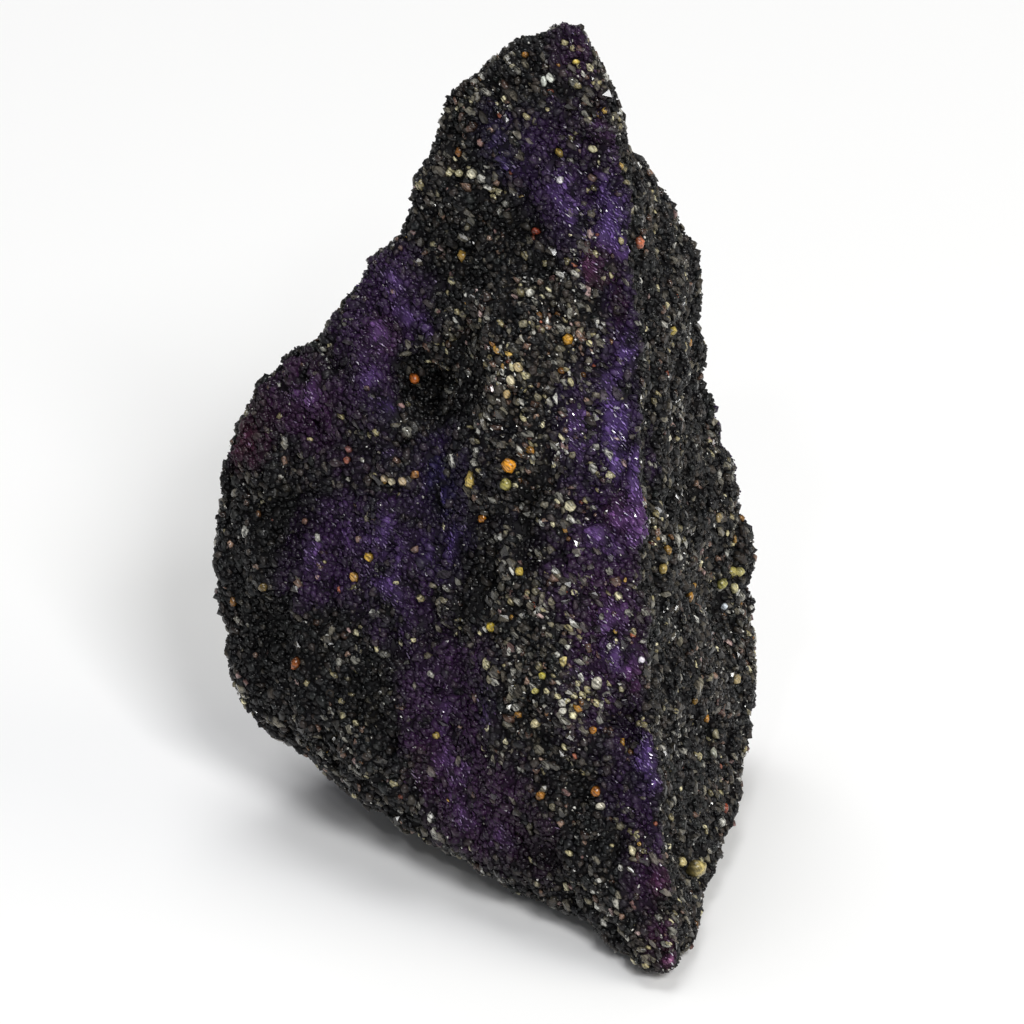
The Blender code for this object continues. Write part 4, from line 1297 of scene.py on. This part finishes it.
def shown_piece(name, mesh):
    """A finished piece: metres, at the origin, riding on the stone's body."""
    mesh.transform(Matrix.Scale(MM, 4))
    mesh.name = name
    piece = bpy.data.objects.new(name, mesh)
    bpy.context.scene.collection.objects.link(piece)
    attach(piece, "root")
    return piece


def keep_in_box(mesh):
    """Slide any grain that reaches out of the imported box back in."""
    grain = read_array(mesh.attributes["grain"].data, "value", 1)
    number = np.rint(grain[:, 0]).astype(int)
    points = read_array(mesh.vertices, "co", 3).astype(float)
    count = number.max() + 1
    highest = np.full((count, 3), -np.inf)
    lowest = np.full((count, 3), np.inf)
    np.maximum.at(highest, number, points)
    np.minimum.at(lowest, number, points)
    shift = np.minimum(high - EDGE_GAP - highest, 0.0) + np.maximum(low + EDGE_GAP - lowest, 0.0)
    write_points(mesh, points + shift[number])
    return int((np.abs(shift).max(axis=1) > 0).sum())


for sand in SANDS:
    mesh = scattered(sand.name, {
        "Spacing": sand.bed.spacing,
        "Seed": sand.bed.seed,
        "Share from": sand.share[0],
        "Share to": sand.share[1],
        "Smallest radius": sand.radius[0],
        "Largest radius": sand.radius[1],
        "Lowest lift": sand.bed.lowest_lift,
        "Highest lift": sand.bed.highest_lift,
        "Spread": sand.bed.spread,
        "Room": sand.bed.room,
        "Shapes": sand.shapes,
        "Material": sand.material,
    })
    moved = keep_in_box(mesh)
    shown_piece(sand.name, mesh)
    print(sand.name, len(mesh.polygons), "triangles,", moved, "slid into the box")

# %% Standout grains and the crystal itself
standout.materials.append(standout_stone)
shown_piece("standout_grains", standout)
grain_meshes = [mesh for mesh in bpy.data.meshes if "tint" in mesh.attributes]
print("grains in all:", sum(len(mesh.polygons) for mesh in grain_meshes), "triangles")
crystal = shown_piece("crystal", crystal_mesh)
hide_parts("rough_sapphire")
print("crystal:", 2 * len(crystal_mesh.polygons), "triangles")

# %% [markdown]
# ## Floor and light
#
# A pale floor, one soft key light from the right and above, a weak fill from the left, a warm
# one that grazes the right side, and a large one from above and behind that lights the floor.
# Two small bright lamps near the camera put the glints on the facets: a soft light alone would
# leave them dull, and a picture of a sky would put shapes into them that nobody asked for.

# %% Floor
HALF_FLOOR = 1.0
floor_mesh = bpy.data.meshes.new("floor")
around = ((-1, -1), (1, -1), (1, 1), (-1, 1))
corners = [(x * HALF_FLOOR, y * HALF_FLOOR, 0.0) for x, y in around]
floor_mesh.from_pydata(corners, [], [(0, 1, 2, 3)])
floor = bpy.data.objects.new("floor", floor_mesh)
bpy.context.scene.collection.objects.link(floor)
# Matt paper: pale and even, so it takes the light and shows no gloss
paper, _ = new_material("pale_paper_floor")
feed(paper.node_tree, paper.node_tree.nodes["Principled BSDF"], {
    "Base Color": linear("#f5f5f5"), "Roughness": 0.9,
})
floor_mesh.materials.append(paper)
print("the floor is", 2 * HALF_FLOOR, "m wide")

# %% Lights
Lamp = namedtuple("Lamp", "name place side_length watts colour", defaults=((1.0, 1.0, 1.0),))
LAMPS = (
    Lamp("key softbox", (0.20, -0.44, 0.50), 0.20, 2.8),
    Lamp("fill softbox", (-0.45, -0.25, 0.30), 0.20, 0.10),
    Lamp("side softbox", (0.45, -0.05, 0.25), 0.25, 0.50, (1.0, 0.95, 0.80)),
    Lamp("top softbox", (-0.05, 0.24, 0.60), 0.35, 2.15),
    Lamp("glint lamp", (0.10, -0.50, 0.40), 0.04, 0.28),
    Lamp("second glint lamp", (-0.15, -0.45, 0.55), 0.04, 0.22),
)
AIM = Vector((0.0, 0.0, 20.0)) * MM
for lamp in LAMPS:
    light = bpy.data.objects.new(lamp.name, bpy.data.lights.new(lamp.name, "AREA"))
    light.data.size = lamp.side_length
    light.data.energy = lamp.watts
    light.data.color = lamp.colour
    light.location = lamp.place
    light.rotation_euler = (AIM - light.location).to_track_quat("-Z", "Y").to_euler()
    bpy.context.scene.collection.objects.link(light)

SKY_COLOUR, SKY_STRENGTH = (0.92, 0.95, 1.0, 1.0), 0.13
world = bpy.data.worlds.new("soft white room")
world.use_nodes = True
sky = world.node_tree.nodes["Background"]
sky.inputs["Color"].default_value = SKY_COLOUR
sky.inputs["Strength"].default_value = SKY_STRENGTH
bpy.context.scene.world = world
bpy.context.scene.view_settings.view_transform = "Standard"
print(len(LAMPS), "lamps,", sum(lamp.watts for lamp in LAMPS), "watts in all")
